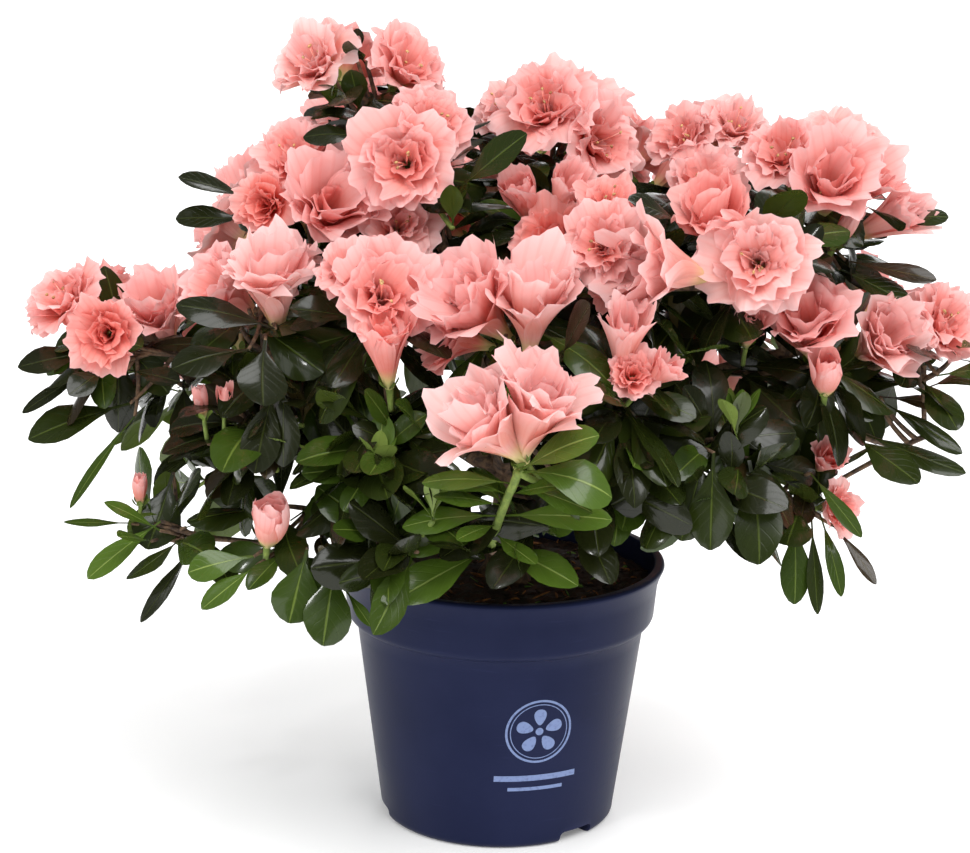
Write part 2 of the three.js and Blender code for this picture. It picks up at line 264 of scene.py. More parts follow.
# Single leaves that stand clear: foot in the mass's box from -1 to 1 (across, back, up), bearing
# and elevation it points, length, width, tint and droop.
LEAVES = {
    "upper_left": (
        (-0.6, -0.2, 0.12, -85, 18, 30, 13, 0, 15),
        (-0.6, -0.2, -0.18, -85, 4, 30, 12, 0, 10),
    ),
    "upper_middle": (
        (-0.7, 0.0, 0.35, -80, 15, 28, 10, 0, 35),
        (0.55, -0.6, -0.15, 78, 42, 36, 18, 1, 10),
    ),
    "top_left": (
        (0.05, -0.5, -0.45, -10, 65, 21, 11, 1, 5),
        (0.25, -0.5, -0.6, -60, 20, 26, 13, 0, 20),
        (-0.02, 0.3, 0.3, 10, 80, 12, 6, 0, 10),
    ),
    "top_middle": (
        (-0.7, -0.4, -0.2, 60, 0, 22, 9, 0, 20),
    ),
    "right_shoulder": (
        (-0.95, -0.3, 0.5, -55, 30, 28, 13, 0, 15),
    ),
    "top_far_right": (
        (0.6, 0.0, -0.2, 75, 10, 24, 12, 1, 15),
        (0.1, -0.3, -0.75, 75, -8, 38, 10, 4, 10),
        (0.05, -0.2, -0.9, 60, -15, 34, 15, 1, 10),
    ),
    "far_right": (
        (0.1, -0.6, -0.35, 70, 15, 26, 13, 2, 10),
    ),
    "front_middle": (
        (0.6, -0.6, -0.45, 30, 55, 31, 16, 0, 5),
    ),
    "left_shoulder": (
        (0.25, -0.7, -0.25, -75, 22, 40, 15, 0, 25),
        (-0.05, -0.8, -0.5, -60, 0, 32, 18, 0, 25),
        (0.15, -0.9, -0.35, -10, -60, 26, 20, 0, 10),
        (0.25, -0.8, -0.95, -30, -65, 36, 16, 0, 5),
        (0.35, -0.8, -0.9, 5, -70, 34, 14, 0, 5),
    ),
    "far_left": (
        (-0.2, -0.4, -0.15, -80, -8, 34, 15, 0, 10),
        (-0.25, -0.3, -0.35, -75, -28, 36, 7, 0, 10),
        (0.1, -0.3, -0.8, -75, -12, 44, 19, 1, 12),
        (0.15, -0.3, -0.95, -60, -46, 46, 6, 2, 6),
        (0.1, -0.5, -0.35, 60, 0, 26, 10, 0, 10),
        (0.15, 0.0, -0.2, 70, 12, 30, 9, 0, 15),
        (-0.1, -0.6, -0.3, -40, -20, 22, 11, 0, 5),
    ),
    "low_far_left": (
        (-0.35, -0.4, 0.32, -80, 2, 27, 5, 2, 5),
        (0.0, -0.4, 0.35, -60, -28, 38, 12, 3, 8),
        (0.4, -0.3, 0.05, -50, -48, 40, 7, 0, 6),
        (0.1, 0.1, 0.9, -20, -55, 34, 20, 1, 5),
        (-0.1, -0.5, 0.1, -20, 22, 26, 9, 3, 10),
        (0.25, -0.5, 0.15, -50, -30, 28, 10, 1, 8),
        (0.55, -0.5, 0.2, 30, -35, 28, 12, 1, 8),
        (0.3, -0.5, 0.3, 62, 25, 30, 10, 2, 10),
        (0.0, -0.5, 0.25, -76, 35, 26, 8, 3, 8),
    ),
    "low_front_right": (
        (-0.6, -0.2, 0.3, -60, -20, 36, 16, 0, 10),
        (-0.3, 0.0, 0.2, -30, -40, 36, 16, 0, 10),
        (0.2, 0.0, 0.3, 30, -35, 36, 16, 0, 10),
        (-0.9, 0.1, 0.5, -80, -10, 34, 15, 1, 10),
        (-0.2, 0.3, 0.6, 60, -20, 36, 16, 0, 10),
    ),
    "low_left": (
        (-0.45, -0.7, 0.1, -75, -5, 27, 13, 3, 15),
        (-0.42, -0.7, 0.0, -60, -30, 28, 10, 3, 8),
        (0.17, -0.9, 0.25, -25, -60, 30, 20, 2, 10),
        (0.5, -0.95, 0.14, -15, -58, 34, 20, 2, 15),
        (0.6, -0.9, -0.2, 40, -30, 20, 5, 3, 5),
    ),
    "right_low": (
        (-0.2, -0.6, 0.25, -25, -58, 36, 18, 1, 12),
        (-0.1, -0.8, 0.3, -5, -70, 38, 18, 1, 8),
        (0.4, -0.4, 0.15, 25, -60, 42, 20, 1, 8),
        (-0.1, -0.2, -0.35, 40, -40, 32, 8, 0, 5),
    ),
    "low_right": (
        (-0.15, -0.5, 0.1, 10, -70, 36, 13, 2, 5),
        (0.05, -0.5, 0.05, 10, -68, 38, 8, 1, 5),
        (0.15, -0.5, 0.1, 30, -55, 34, 8, 2, 8),
        (0.3, -0.5, 0.0, 50, -35, 30, 6, 4, 5),
        (0.0, -0.6, 0.55, 45, -35, 34, 9, 2, 8),
    ),
    "low_far_right": (
        (-0.9, -0.4, 0.3, 70, -18, 46, 13, 1, 8),
        (-0.6, 0.0, 0.9, 70, -24, 40, 9, 1, 8),
        (-1.0, -0.6, 0.3, 50, -22, 34, 18, 1, 10),
        (-0.6, 0.0, 1.0, 80, 0, 30, 9, 4, 12),
    ),
}

# The long green shoot at the front, and its leaves: share of its height, bearing, elevation,
# length, width and droop.
SHOOT = ((-5, -94, 146), (-3, -114, 163), (5, -133, 188))
SHOOT_FOOT = ((3, -2, 138), (-4, -58, 128), (-5, -95, 147))
SHOOT_LEAVES = (
    (1.0, 60, 38, 36, 17, 28), (0.95, 72, 8, 38, 19, 55), (0.9, -80, 12, 35, 10, 30),
    (0.8, -72, 28, 27, 9, 45), (0.85, 85, -12, 32, 10, 10), (0.45, 75, 8, 44, 13, 10),
    (0.3, -85, -4, 38, 13, 15), (0.1, 62, -14, 40, 15, 5), (0.05, -60, -19, 46, 17, 5),
    (0.2, 160, 20, 30, 12, 10), (0.6, -150, 20, 30, 12, 10), (0.6, -62, 20, 30, 9, 20),
    (0.7, 48, 24, 26, 9, 25), (0.42, -32, 8, 26, 8, 20), (0.5, -85, 2, 38, 12, 15),
    (0.22, 28, -6, 28, 10, 15),
)

# Young leaf buds, tight and upright: place in the mass's box, size and tint.
LEAF_BUDS = {
    "upper_middle": ((0.5, -0.75, -0.6, 0.5, 1),),
    "left_middle": ((0.46, -0.6, 0.05, 0.62, 4), (0.2, -0.7, -0.65, 0.5, 3)),
    "front_inner_left": ((-0.1, -0.7, -0.45, 0.6, 3),),
    "low_left": ((0.4, -0.9, -0.05, 0.45, 4),),
    "right_low": ((0.2, -0.7, 0.45, 0.55, 3),),
    "low_front_left": ((0.3, -0.8, 0.5, 0.5, 3),),
}

# Leafy sprays stay out of these spaces, in millimetres: across, back and up, each from and to.
CLEAR_SPACES = (
    ((-30, 74), (-170, 60), (0, 142)),  # over the peat
    ((-300, 70), (-300, 300), (0, 122)),  # under the crown's left
    ((70, 300), (-300, 300), (0, 139)),  # under the crown's right
    ((70, 104), (-300, 300), (0, 150)),  # beside the pot's right
    ((-300, -160), (-300, 30), (0, 168)),  # beyond the low left
    ((140, 300), (-300, 60), (0, 170)),  # beyond the low right
    ((166, 300), (-300, 50), (0, 188)),  # beyond the right
    ((15, 115), (20, 300), (272, 400)),  # the dip in the crown's top
    ((-300, -88), (-300, 300), (292, 400)),  # above the crown's left
    ((60, 130), (-300, 300), (288, 400)),  # above the crown's right
)

# ------------------------------------------------------------------ small shapes in one mesh


def bm_arrays(bm):
    """A bmesh's points and its faces, sorted by their number of corners."""
    bm.verts.index_update()
    points = np.array([vert.co[:] for vert in bm.verts])
    faces = {}
    for face in bm.faces:
        faces.setdefault(len(face.verts), []).append([vert.index for vert in face.verts])
    bm.free()
    return points, {size: np.array(rows) for size, rows in faces.items()}


def sheet_form(across, along):
    """A flat grid: the share across and along of each point, and the faces."""
    bm = bmesh.new()
    bmesh.ops.create_grid(bm, x_segments=across, y_segments=along, size=0.5)
    points, faces = bm_arrays(bm)
    return points[:, 0] + 0.5, points[:, 1] + 0.5, faces


def tube_form(sides, steps):
    """A closed round bar: the angle and step of each point, and the faces."""
    bm = bmesh.new()
    bmesh.ops.create_circle(bm, segments=sides, radius=1, cap_ends=True)
    edges = list(bm.edges)
    for step in range(1, steps + 1):
        grown = bmesh.ops.extrude_edge_only(bm, edges=edges)
        verts = new_verts(grown)
        edges = [item for item in grown["geom"] if isinstance(item, bmesh.types.BMEdge)
                 and all(vert in verts for vert in item.verts)]
        for vert in verts:
            vert.co.z = step
    bmesh.ops.contextual_create(bm, geom=edges)
    caps = [face for face in bm.faces if len(face.verts) == sides and sides > 4]
    bmesh.ops.poke(bm, faces=caps)
    bmesh.ops.recalc_face_normals(bm, faces=bm.faces)
    points, faces = bm_arrays(bm)
    centre = np.hypot(points[:, 0], points[:, 1]) < 0.5
    angles = np.arctan2(points[:, 1], points[:, 0])
    return angles, np.rint(points[:, 2]).astype(int), ~centre, faces


class Heap:
    """Many small shapes gathered into one mesh, each with a material and a place on the map."""

    def __init__(self, cells):
        self.cells = cells
        self.points = []
        self.places = []
        self.faces = {3: [], 4: []}
        self.kinds = {3: [], 4: []}
        self.count = 0

    def add(self, points, faces, kind, across, along):
        """kind is the material's number, and also its cell on the map."""
        cell = np.array([kind % self.cells, kind // self.cells])
        inside = 0.03 + 0.94 * np.stack([across, along], axis=1)
        self.places.append((cell + inside) / self.cells)
        self.points.append(points)
        for size, rows in faces.items():
            self.faces[size].append(rows + self.count)
            self.kinds[size].append(np.full(len(rows), kind))
        self.count += len(points)

    def piece(self, name, materials):
        """The joined mesh as an object."""
        points = np.concatenate(self.points)
        places = np.concatenate(self.places)
        corners, sizes, kinds = [], [], []
        for size in (3, 4):
            if self.faces[size]:
                rows = np.concatenate(self.faces[size])
                corners.append(rows.ravel())
                sizes.append(np.full(len(rows), size))
                kinds.append(np.concatenate(self.kinds[size]))
        corners, sizes, kinds = map(np.concatenate, (corners, sizes, kinds))
        mesh = bpy.data.meshes.new(name)
        mesh.vertices.add(len(points))
        mesh.vertices.foreach_set("co", points.astype(np.float32).ravel())
        mesh.loops.add(len(corners))
        mesh.loops.foreach_set("vertex_index", corners.astype(np.int32))
        mesh.polygons.add(len(sizes))
        starts = np.concatenate([[0], np.cumsum(sizes)[:-1]])
        mesh.polygons.foreach_set("loop_start", starts.astype(np.int32))
        mesh.polygons.foreach_set("material_index", kinds.astype(np.int32))
        mesh.update(calc_edges=True)
        smooth_all(mesh)
        layer = mesh.uv_layers.new(name="OFBake")
        layer.data.foreach_set("uv", places[corners].astype(np.float32).ravel())
        mesh.validate()
        return finished(name, mesh, materials)


def finished(name, mesh, materials):
    """An object for a mesh, in the scene, with its materials."""
    for material in materials:
        mesh.materials.append(material)
    piece = bpy.data.objects.new(name, mesh)
    bpy.context.scene.collection.objects.link(piece)
    return piece


def from_bmesh(name, bm, materials):
    """An object for a bmesh, which is freed."""
    mesh = bpy.data.meshes.new(name)
    bm.to_mesh(mesh)
    bm.free()
    return finished(name, mesh, materials)


def smooth_all(mesh):
    mesh.polygons.foreach_set("use_smooth", np.ones(len(mesh.polygons), bool))


def new_verts(made):
    """The vertices in what an operator returns."""
    return [item for item in made["geom"] if isinstance(item, bmesh.types.BMVert)]


def unit(vector):
    return vector / np.linalg.norm(vector)


def crosswise(axis):
    """Two unit vectors square to an axis and to each other."""
    helper = UP if abs(axis[2]) < 0.9 else np.array([1.0, 0.0, 0.0])
    side = unit(np.cross(axis, helper))
    return side, np.cross(side, axis)


def facing(bearing, elevation):
    """Unit vector at a bearing from the front, + to the right, and an elevation, in degrees."""
    b, e = math.radians(bearing), math.radians(elevation)
    return np.array([math.sin(b) * math.cos(e), -math.cos(b) * math.cos(e), math.sin(e)])


def bent(start, middle, end, steps):
    """Points along a quadratic curve."""
    t = np.linspace(0, 1, steps + 1)[:, None]
    return (1 - t) ** 2 * start + 2 * t * (1 - t) * middle + t ** 2 * end


def point_at(path, share):
    """The point of a path at a share of its length."""
    return path[round(share * (len(path) - 1))]


# ------------------------------------------------------------------ limbs and twigs


def add_tube(heap, form, path, radii, kind, relief=None):
    """A round bar along a path, with a radius at each step. Its map runs round and along it."""
    angles, steps, on_wall, faces = form
    tangents = np.gradient(path, axis=0)
    side = crosswise(unit(tangents[0]))[0]
    sides, backs = [], []
    for tangent in tangents:
        tangent = unit(tangent)
        side = unit(side - tangent * (side @ tangent))
        sides.append(side)
        backs.append(np.cross(tangent, side))
    radius = radii[steps] * on_wall
    if relief is not None:
        radius = radius * relief(angles, steps / (len(path) - 1))
    out = np.cos(angles)[:, None] * np.array(sides)[steps]
    out = out + np.sin(angles)[:, None] * np.array(backs)[steps]
    points = path[steps] + radius[:, None] * out
    heap.add(points, faces, kind, angles / math.tau + 0.5, steps / steps.max())


LIMB_FORM = tube_form(20, 44)
TWIG_FORM = tube_form(6, 8)
THREAD_FORM = tube_form(4, 5)


def mass_centre(mass):
    low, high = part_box("mass_" + mass)
    return np.array((low + high) / 2)


def mass_half(mass):
    low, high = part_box("mass_" + mass)
    return np.array((high - low) / 2)


def place_in(mass, across, behind, height):
    """A place in a mass's box, each share from -1 to 1."""
    return mass_centre(mass) + mass_half(mass) * np.array([across, behind, height])


def root_flare(shares):
    """How much the stem widens towards its foot, from 1 there to 0 at its fork."""
    return (1 - shares) ** 2.5


def bark_relief(angles, shares):
    """Long shallow ridges and a few swellings where side shoots once grew."""
    ridges = 0.05 * np.sin(5 * angles + 9 * shares) + 0.035 * np.sin(9 * angles - 14 * shares)
    knots = 0.05 * np.sin(31 * shares + 1.3 * np.sin(2 * angles))
    return 1 + ridges + knots


def stem_relief(angles, shares):
    ribs = ROOT_RIB_DEPTH * root_flare(shares) * np.cos(ROOT_RIBS * angles)
    return bark_relief(angles, shares) * (1 + ribs)


def grow_limbs(heap):
    """The stem and the boughs, each one tapering limb. Returns every limb's path and radii."""
    steps = max(LIMB_FORM[1])
    shares = np.linspace(0, 1, steps + 1)
    foot, lean, fork = (np.array(place) * MM for place in (STEM_FOOT, STEM_LEAN, STEM_FORK))
    radii = (STEM_FORK_RADIUS + (STEM_FOOT_RADIUS - STEM_FORK_RADIUS) * root_flare(shares)) * MM
    path = bent(foot, lean, fork, steps)
    limbs = {"stem": (path, radii)}
    add_tube(heap, LIMB_FORM, path, radii, 0, stem_relief)
    for name, target, rise, radius, parent, share in BOUGHS:
        start = point_at(limbs[parent][0], share) if parent else fork
        end = mass_centre(target)
        middle = start + 0.45 * (end - start) + UP * rise * MM
        path = bent(start, middle, end, steps)
        radii = radius * MM * (1 + (BOUGH_TIP_SHARE - 1) * shares)
        limbs[name] = (path, radii)
        add_tube(heap, LIMB_FORM, path, radii, 0, bark_relief)
    return limbs


def add_twig(heap, start, middle, end, thick, thin, kind):
    """One tapering twig. Returns its path."""
    steps = max(TWIG_FORM[1])
    path = bent(start, middle, end, steps)
    add_tube(heap, TWIG_FORM, path, np.linspace(thick, thin, steps + 1), kind)
    return path


def grow_side_boughs(heap, limbs):
    """Every mass that no bough ends in gets one from the nearest limb. Returns mass to limb."""
    ends = {target: limbs[name] for name, target, *_ in BOUGHS}
    centres = {mass: mass_centre(mass) for mass in MASSES}
    middle = np.array(STEM_FORK) * MM
    waiting = sorted((m for m in MASSES if m not in ends),
                     key=lambda m: np.linalg.norm(centres[m] - middle))
    for mass in waiting:
        best = None
        for path, radii in list(limbs.values())[1:]:
            for step in range(len(path) // 4, len(path)):
                gap = np.linalg.norm(path[step] - centres[mass])
                if best is None or gap < best[0]:
                    best = (gap, path[step], radii[step])
        gap, start, radius = best
        bend = start + 0.5 * (centres[mass] - start) + rng.normal(0, 0.08, 3) * gap
        thick, thin = min(radius * 0.8, SIDE_BOUGH_RADII[0] * MM), SIDE_BOUGH_RADII[1] * MM
        path = bent(start, bend, centres[mass], SIDE_BOUGH_STEPS)
        radii = np.linspace(thick, thin, SIDE_BOUGH_STEPS + 1)
        add_twig(heap, start, bend, centres[mass], thick, thin, TWIG_BARK)
        limbs["side_" + mass] = (path, radii)
        ends[mass] = (path, radii)
    return ends


# ------------------------------------------------------------------ leaves

LEAF_ACROSS, LEAF_ALONG, LEAF_FACES = sheet_form(4, 8)
LEAF_ALONG = 1 - (1 - LEAF_ALONG) ** 1.5
STALK_HALF = 0.4 * MM


def leaf_outline(t):
    """Half width along a leaf, from its thin stalk to its blunt tip, 1 where it is widest."""
    blade = np.clip((t - 0.10) / 0.90, 0, 1)
    return np.maximum(np.sin(math.pi * blade ** 1.5) ** (1.05 - 0.5 * blade), 0.07)


def leaf_points(base, direction, upper, length, width, droop, fold):
    """One leaf from its stalk's foot, drooping away from its upper side along its length."""
    s = LEAF_ACROSS * 2 - 1
    t = LEAF_ALONG
    steps = np.linspace(0, 1, 17)
    pitch = -droop * steps ** 1.3
    ahead = np.concatenate([[0], np.cumsum(np.cos(pitch)[1:]) / 16]) * length
    lift = np.concatenate([[0], np.cumsum(np.sin(pitch)[1:]) / 16]) * length
    half = np.maximum(width / 2 * leaf_outline(t), STALK_HALF)
    ripple = 0.09 * np.sin(math.tau * (1.3 * t + rng.random())) * s
    rise = half * (fold * np.abs(s) - 0.30 * s ** 2 + ripple)
    twist = rng.normal(0, 0.22) * t
    sideways = half * s * np.cos(twist) + length * 0.05 * rng.normal() * t ** 2
    rise = rise + half * s * np.sin(twist)
    side = np.cross(direction, upper)
    points = base + np.interp(t, steps, ahead)[:, None] * direction
    points = points + (np.interp(t, steps, lift) + rise)[:, None] * upper
    return points + sideways[:, None] * side


bloom_places, bloom_reaches = [], []


def is_free(points):
    """Whether points stay out of every bloom grown so far and of every clear space."""
    for low, high in np.array(CLEAR_SPACES).transpose(0, 2, 1) * MM:
        if np.any(np.all((points > low) & (points < high), axis=1)):
            return False
    gaps = np.linalg.norm(points[:, None] - np.array(bloom_places)[None], axis=2)
    return not np.any(gaps < np.array(bloom_reaches))


def add_leaf(heap, base, direction, upper, length, width, kind, droop, fold=0.3):
    """Adds a leaf unless its outer part would run through a bloom or a clear space."""
    points = leaf_points(base, direction, upper, length, width, droop, fold)
    middle = np.abs(LEAF_ACROSS - 0.5) < 0.01
    if is_free(points[middle & (LEAF_ALONG > 0.35)]):
        heap.add(points, LEAF_FACES, kind, LEAF_ACROSS, LEAF_ALONG)


def add_rosette(heap, tip, axis, leaves, size, kind, reach, spread=(42, 96)):
    """A whorl of leaves down the last stretch of a shoot, the youngest at its tip."""
    side, back = crosswise(axis)
    turn = rng.random() * math.tau
    for number in range(leaves):
        share = (number + 0.5) / leaves
        angle = turn + number * GOLDEN_ANGLE
        around = math.cos(angle) * side + math.sin(angle) * back
        pitch = math.radians(spread[0] + (spread[1] - spread[0]) * share + rng.normal(0, 8))
        direction = math.cos(pitch) * axis + math.sin(pitch) * around
        upper = math.sin(pitch) * axis - math.cos(pitch) * around
        length = size * (26 + 13 * share ** 0.7 + rng.normal(0, 3.0)) * MM
        width = length * rng.uniform(0.37, 0.48)
        droop = math.radians(rng.uniform(5, 45))
        tint = kind if rng.random() < 0.8 else (kind + rng.integers(-1, 2)) % 3
        add_leaf(heap, tip - axis * share * reach, direction, upper, length, width, tint, droop,
                 rng.uniform(-0.1, 0.55))


# ------------------------------------------------------------------ petals and blooms

PETAL_FORMS = (sheet_form(18, 10), sheet_form(12, 8))
RIM_SWEEP = math.radians(82)
CUP_RIM = math.radians(55)

# A whorl: petals, length, width, angle at the foot and at the rim from the bloom's axis,
# ruffle, how much flatter than round it lies across, and the step to a deeper tone.
# DEPTHS is from a bloom's foot to its middle, REACHES the room round its middle.
WHORLS = {
    "open": (
        (5, 28, 27, 20, 84, 2.9, 1.5, 0),
        (5, 26, 24, 15, 58, 3.3, 1.2, 0),
        (4, 23, 18, 10, 36, 3.2, 0.8, 1),
        (3, 18, 12, 6, 22, 2.4, 0.5, 1),
        (3, 12, 8, 2, 12, 1.4, 0.3, 0),
    ),
    "cup": (
        (5, 42, 32, 8, 40, 2.9, 1.0, 0),
        (5, 40, 28, 6, 30, 3.0, 0.8, 0),
        (4, 34, 20, 5, 20, 2.6, 0.6, 1),
    ),
    "funnel": (
        (5, 43, 27, 8, 30, 2.6, 0.8, 0),
        (5, 41, 24, 6, 22, 2.6, 0.6, 0),
        (4, 35, 17, 4, 15, 2.2, 0.4, 1),
    ),
    "rosette": (
        (6, 24, 20, 24, 74, 1.9, 1.0, 0),
        (5, 21, 18, 18, 46, 2.1, 0.8, 1),
        (5, 18, 15, 12, 24, 1.9, 0.5, 1),
        (4, 15, 10, 4, 8, 1.4, 0.3, 2),
    ),
    "half": (
        (5, 32, 19, 13, 16, 1.1, 0.3, 0),
        (4, 30, 16, 9, 10, 1.2, 0.2, 1),
        (3, 27, 12, 5, 6, 1.2, 0.1, 1),
    ),
    "plump": (
        (4, 23, 20, 36, -26, 0.8, 0.0, 0),
        (3, 22, 18, 26, -16, 0.8, 0.0, 1),
    ),
    "bud": (
        (4, 27, 15, 23, -22, 0.4, 0.0, 0),
        (3, 25, 13, 18, -18, 0.4, 0.0, 1),
    ),
}
DEPTHS = {"open": 15, "cup": 26, "funnel": 26, "rosette": 14, "half": 18, "plump": 11, "bud": 13}
REACHES = {"open": 17, "cup": 17, "funnel": 15, "rosette": 14, "half": 11, "plump": 9, "bud": 8}
TONES = 5


def petal_points(form, length, width, foot, rim, ruffle, flat):
    """One petal rising from the origin round the Z axis, its middle towards +X."""
    across, t, _ = form
    sweep = (1 - across * 2) * RIM_SWEEP
    s = np.sin(sweep) / math.sin(RIM_SWEEP)
    phase = rng.random(6) * math.tau
    rounding = (0.34 if rim > CUP_RIM else 0.22) * t ** 1.2 * (1 - np.cos(sweep))
    lobes = 0.050 * np.sin(2.1 * sweep + phase[0]) + 0.035 * np.sin(5.2 * sweep + phase[1])
    crimp = 0.034 * np.sin(11 * sweep + phase[2])
    share = t * (1 - rounding) + t ** 3 * (lobes + crimp)
    steps = np.linspace(0, 1.15, 24)
    curl = rng.normal(0.05, 0.24)
    angle = foot + (rim - foot) * steps ** 1.4 + curl * np.clip(steps - 0.6, 0, 1) * 2
    away = 1.5 + np.concatenate([[0], np.cumsum(np.sin(angle)[1:])]) * length * steps[1]
    high = np.concatenate([[0], np.cumsum(np.cos(angle)[1:])]) * length * steps[1]
    r = np.interp(share, steps, away)
    z = np.interp(share, steps, high)
    lean = np.interp(share, steps, angle)
    half = width / 2 * (0.13 + 0.87 * np.sin(np.minimum(t * 1.06, 1) * math.pi / 2) ** 1.15)
    sideways = half * s + rng.normal(0, 0.05) * length * t ** 2
    bow = np.maximum(r * (1 + flat * t) / np.maximum(np.cos(lean), 0.4), 2.5)
    turn = np.clip(sideways / bow, -1.9, 1.9)
    edge = 0.6 * np.abs(s) ** 1.4
    waves = edge * np.sin(rng.uniform(1.5, 2.4) * sweep + phase[3])
    waves = waves + 0.5 * np.sin(rng.uniform(3.4, 4.8) * sweep + phase[4]) * t
    fold = ruffle * t ** 1.7 * waves + 0.40 * ruffle * t ** 4 * np.sin(9 * sweep + phase[5])
    fold = fold - 0.5 * (1 - np.abs(s)) ** 2 * np.sin(math.pi * t)
    out = fold - bow * (1 - np.cos(turn))
    return np.stack([r + out * np.cos(lean), bow * np.sin(turn), z - out * np.sin(lean)], axis=1)


def add_bloom(heap, place, direction, size, kind, tone):
    """A bloom whose middle is at place. Returns the point where its stalk meets it."""
    side, back = crosswise(direction)
    foot = place - direction * DEPTHS[kind] * size * MM
    spin = rng.random() * math.tau
    for number, whorl in enumerate(WHORLS[kind]):
        petals, length, width, low, high, ruffle, flat, deeper = whorl
        form = PETAL_FORMS[0 if number < 2 else 1]
        for petal in range(petals):
            points = petal_points(
                form, length * rng.uniform(0.84, 1.12), width * rng.uniform(0.85, 1.2),
                math.radians(low + rng.normal(0, 2)), math.radians(high + rng.normal(0, 11)),
                ruffle * rng.uniform(0.8, 1.5), flat)
            turn = spin + (petal + 0.5 * number) * math.tau / petals + rng.normal(0, 0.18)
            c, n = math.cos(turn), math.sin(turn)
            x = points[:, 0] * c - points[:, 1] * n
            y = points[:, 0] * n + points[:, 1] * c
            local = np.stack([x, y, points[:, 2] + 0.5 * number], axis=1) * size * MM
            world = foot + local[:, :1] * side + local[:, 1:2] * back + local[:, 2:] * direction
            heap.add(world, form[2], min(tone + deeper, TONES - 1), form[0], form[1])
    return foot


STAMENS = 4
THREAD_RADIUS = 0.22
POLLEN_RADII = (0.2, 0.5, 0.6, 0.6, 0.5, 0.2)


def add_stamens(heap, foot, direction, size):
    """A few thin threads with a dark grain of pollen at their tips."""
    side, back = crosswise(direction)
    steps = max(THREAD_FORM[1])
    for _ in range(STAMENS):
        angle = rng.random() * math.tau
        around = math.cos(angle) * side + math.sin(angle) * back
        length = rng.uniform(17, 24) * size * MM
        end = foot + direction * length + around * length * rng.uniform(0.08, 0.34)
        path = bent(foot, foot + direction * length * 0.6, end, steps)
        add_tube(heap, THREAD_FORM, path, np.full(steps + 1, THREAD_RADIUS * MM), 0)
        tip = bent(end - around * 0.8 * MM, end, end + around * 0.8 * MM, steps)
        add_tube(heap, THREAD_FORM, tip, np.array(POLLEN_RADII) * MM, 1)


SEPALS = 5
SEPAL_SIZE = (7, 3.2)
SEPAL_LEAN = math.radians(24)


def add_calyx(twigs, leaves, foot, direction, node, size, green):
    """The stalk from a node to a bloom and the small green calyx round the bloom's foot."""
    middle = (foot + node) / 2 + rng.normal(0, 0.6, 3) * MM
    add_twig(twigs, node, middle, foot + direction * 1.0 * MM, 1.0 * MM, 1.5 * MM * size,
             TWIG_GREEN)
    side, back = crosswise(direction)
    turn = rng.random() * math.tau
    for number in range(SEPALS):
        angle = turn + number * math.tau / SEPALS
        around = math.cos(angle) * side + math.sin(angle) * back
        along = math.cos(SEPAL_LEAN) * direction + math.sin(SEPAL_LEAN) * around
        upper = math.sin(SEPAL_LEAN) * direction - math.cos(SEPAL_LEAN) * around
        base = foot - direction * 1.5 * MM + around * 0.8 * MM
        length, width = (value * MM * (0.7 + 0.3 * size) for value in SEPAL_SIZE)
        points = leaf_points(base, along, upper, length, width, math.radians(10), 0.1)
        leaves.add(points, LEAF_FACES, green, LEAF_ACROSS, LEAF_ALONG)


# ------------------------------------------------------------------ growing the crown

CROWN_HEART = np.array([0.0, 0.0, 0.185])
SPRAY_ROOM = 12 * MM


def spray_tint(height):
    """Upper sprays are nearly black, lower ones greener."""
    low = (0.25 - height) / 0.15
    roll = rng.random()
    if roll < 0.03:
        return RUSSET
    if roll < 0.04 + 0.05 * low:
        return YOUNG_GREEN
    if rng.random() < 0.06 + 0.26 * low:
        return MID_GREEN
    return DEEP_GREEN if rng.random() < 0.40 + 0.35 * low else NEARLY_BLACK


def sites(mass, count, squash=0.5):
    """Places spread over the outward side of a mass, and the direction out of it at each."""
    centre, half = mass_centre(mass), mass_half(mass)
    outward = unit(centre - CROWN_HEART)
    found = []
    turn = rng.random() * math.tau
    tries = int(count * 1.9)
    for number in range(tries):
        z = 1 - 2 * (number + 0.5) / tries
        angle = turn + number * GOLDEN_ANGLE
        ring = math.sqrt(1 - z * z)
        direction = np.array([ring * math.cos(angle), ring * math.sin(angle), z])
        found.append((direction @ outward + rng.normal(0, 0.15), direction))
    found.sort(key=lambda item: -item[0])
    return [(centre + direction * half * squash * rng.uniform(0.75, 1.1), direction)
            for _, direction in found[:count]]


def grow_spray(kit, limb, tip, direction, leaves, size, tint):
    """A twig from the limb's last stretch to a tip, with a rosette of leaves on it."""
    start = point_at(limb[0], rng.uniform(0.55, 1.0))
    middle = (start + tip) / 2 + direction * 4 * MM - UP * 2 * MM
    green = TWIG_GREEN if tint in (MID_GREEN, YOUNG_GREEN) else TWIG_BARK
    add_twig(kit["twigs"], start, middle, tip, 1.3 * MM, 0.8 * MM, green)
    axis = unit(tip - middle + direction * 6 * MM + UP * 5 * MM)
    add_rosette(kit["leaves"], tip, axis, leaves, size, tint, 14 * MM)


def listed_blooms(mass):
    """The blooms listed for a mass, as place, direction, size, kind and tone."""
    for across, behind, height, bearing, elevation, size, kind, tone in BLOOMS.get(mass, ()):
        yield place_in(mass, across, behind, height), facing(bearing, elevation), size, kind, tone


def ruled_blooms(mass):
    """The blooms spread by rule over a mass at the side or back."""
    outward = unit(mass_centre(mass) - CROWN_HEART)
    count = RULED_BLOOMS.get(mass, 0)
    for place, direction in sites(mass, count, 0.6) if count else ():
        direction = unit(direction + 0.6 * outward + 0.45 * UP)
        kind = ("open", "open", "cup", "rosette", "half")[rng.integers(0, 5)]
        yield place, direction, rng.uniform(0.95, 1.15), kind, int(rng.integers(0, 2))


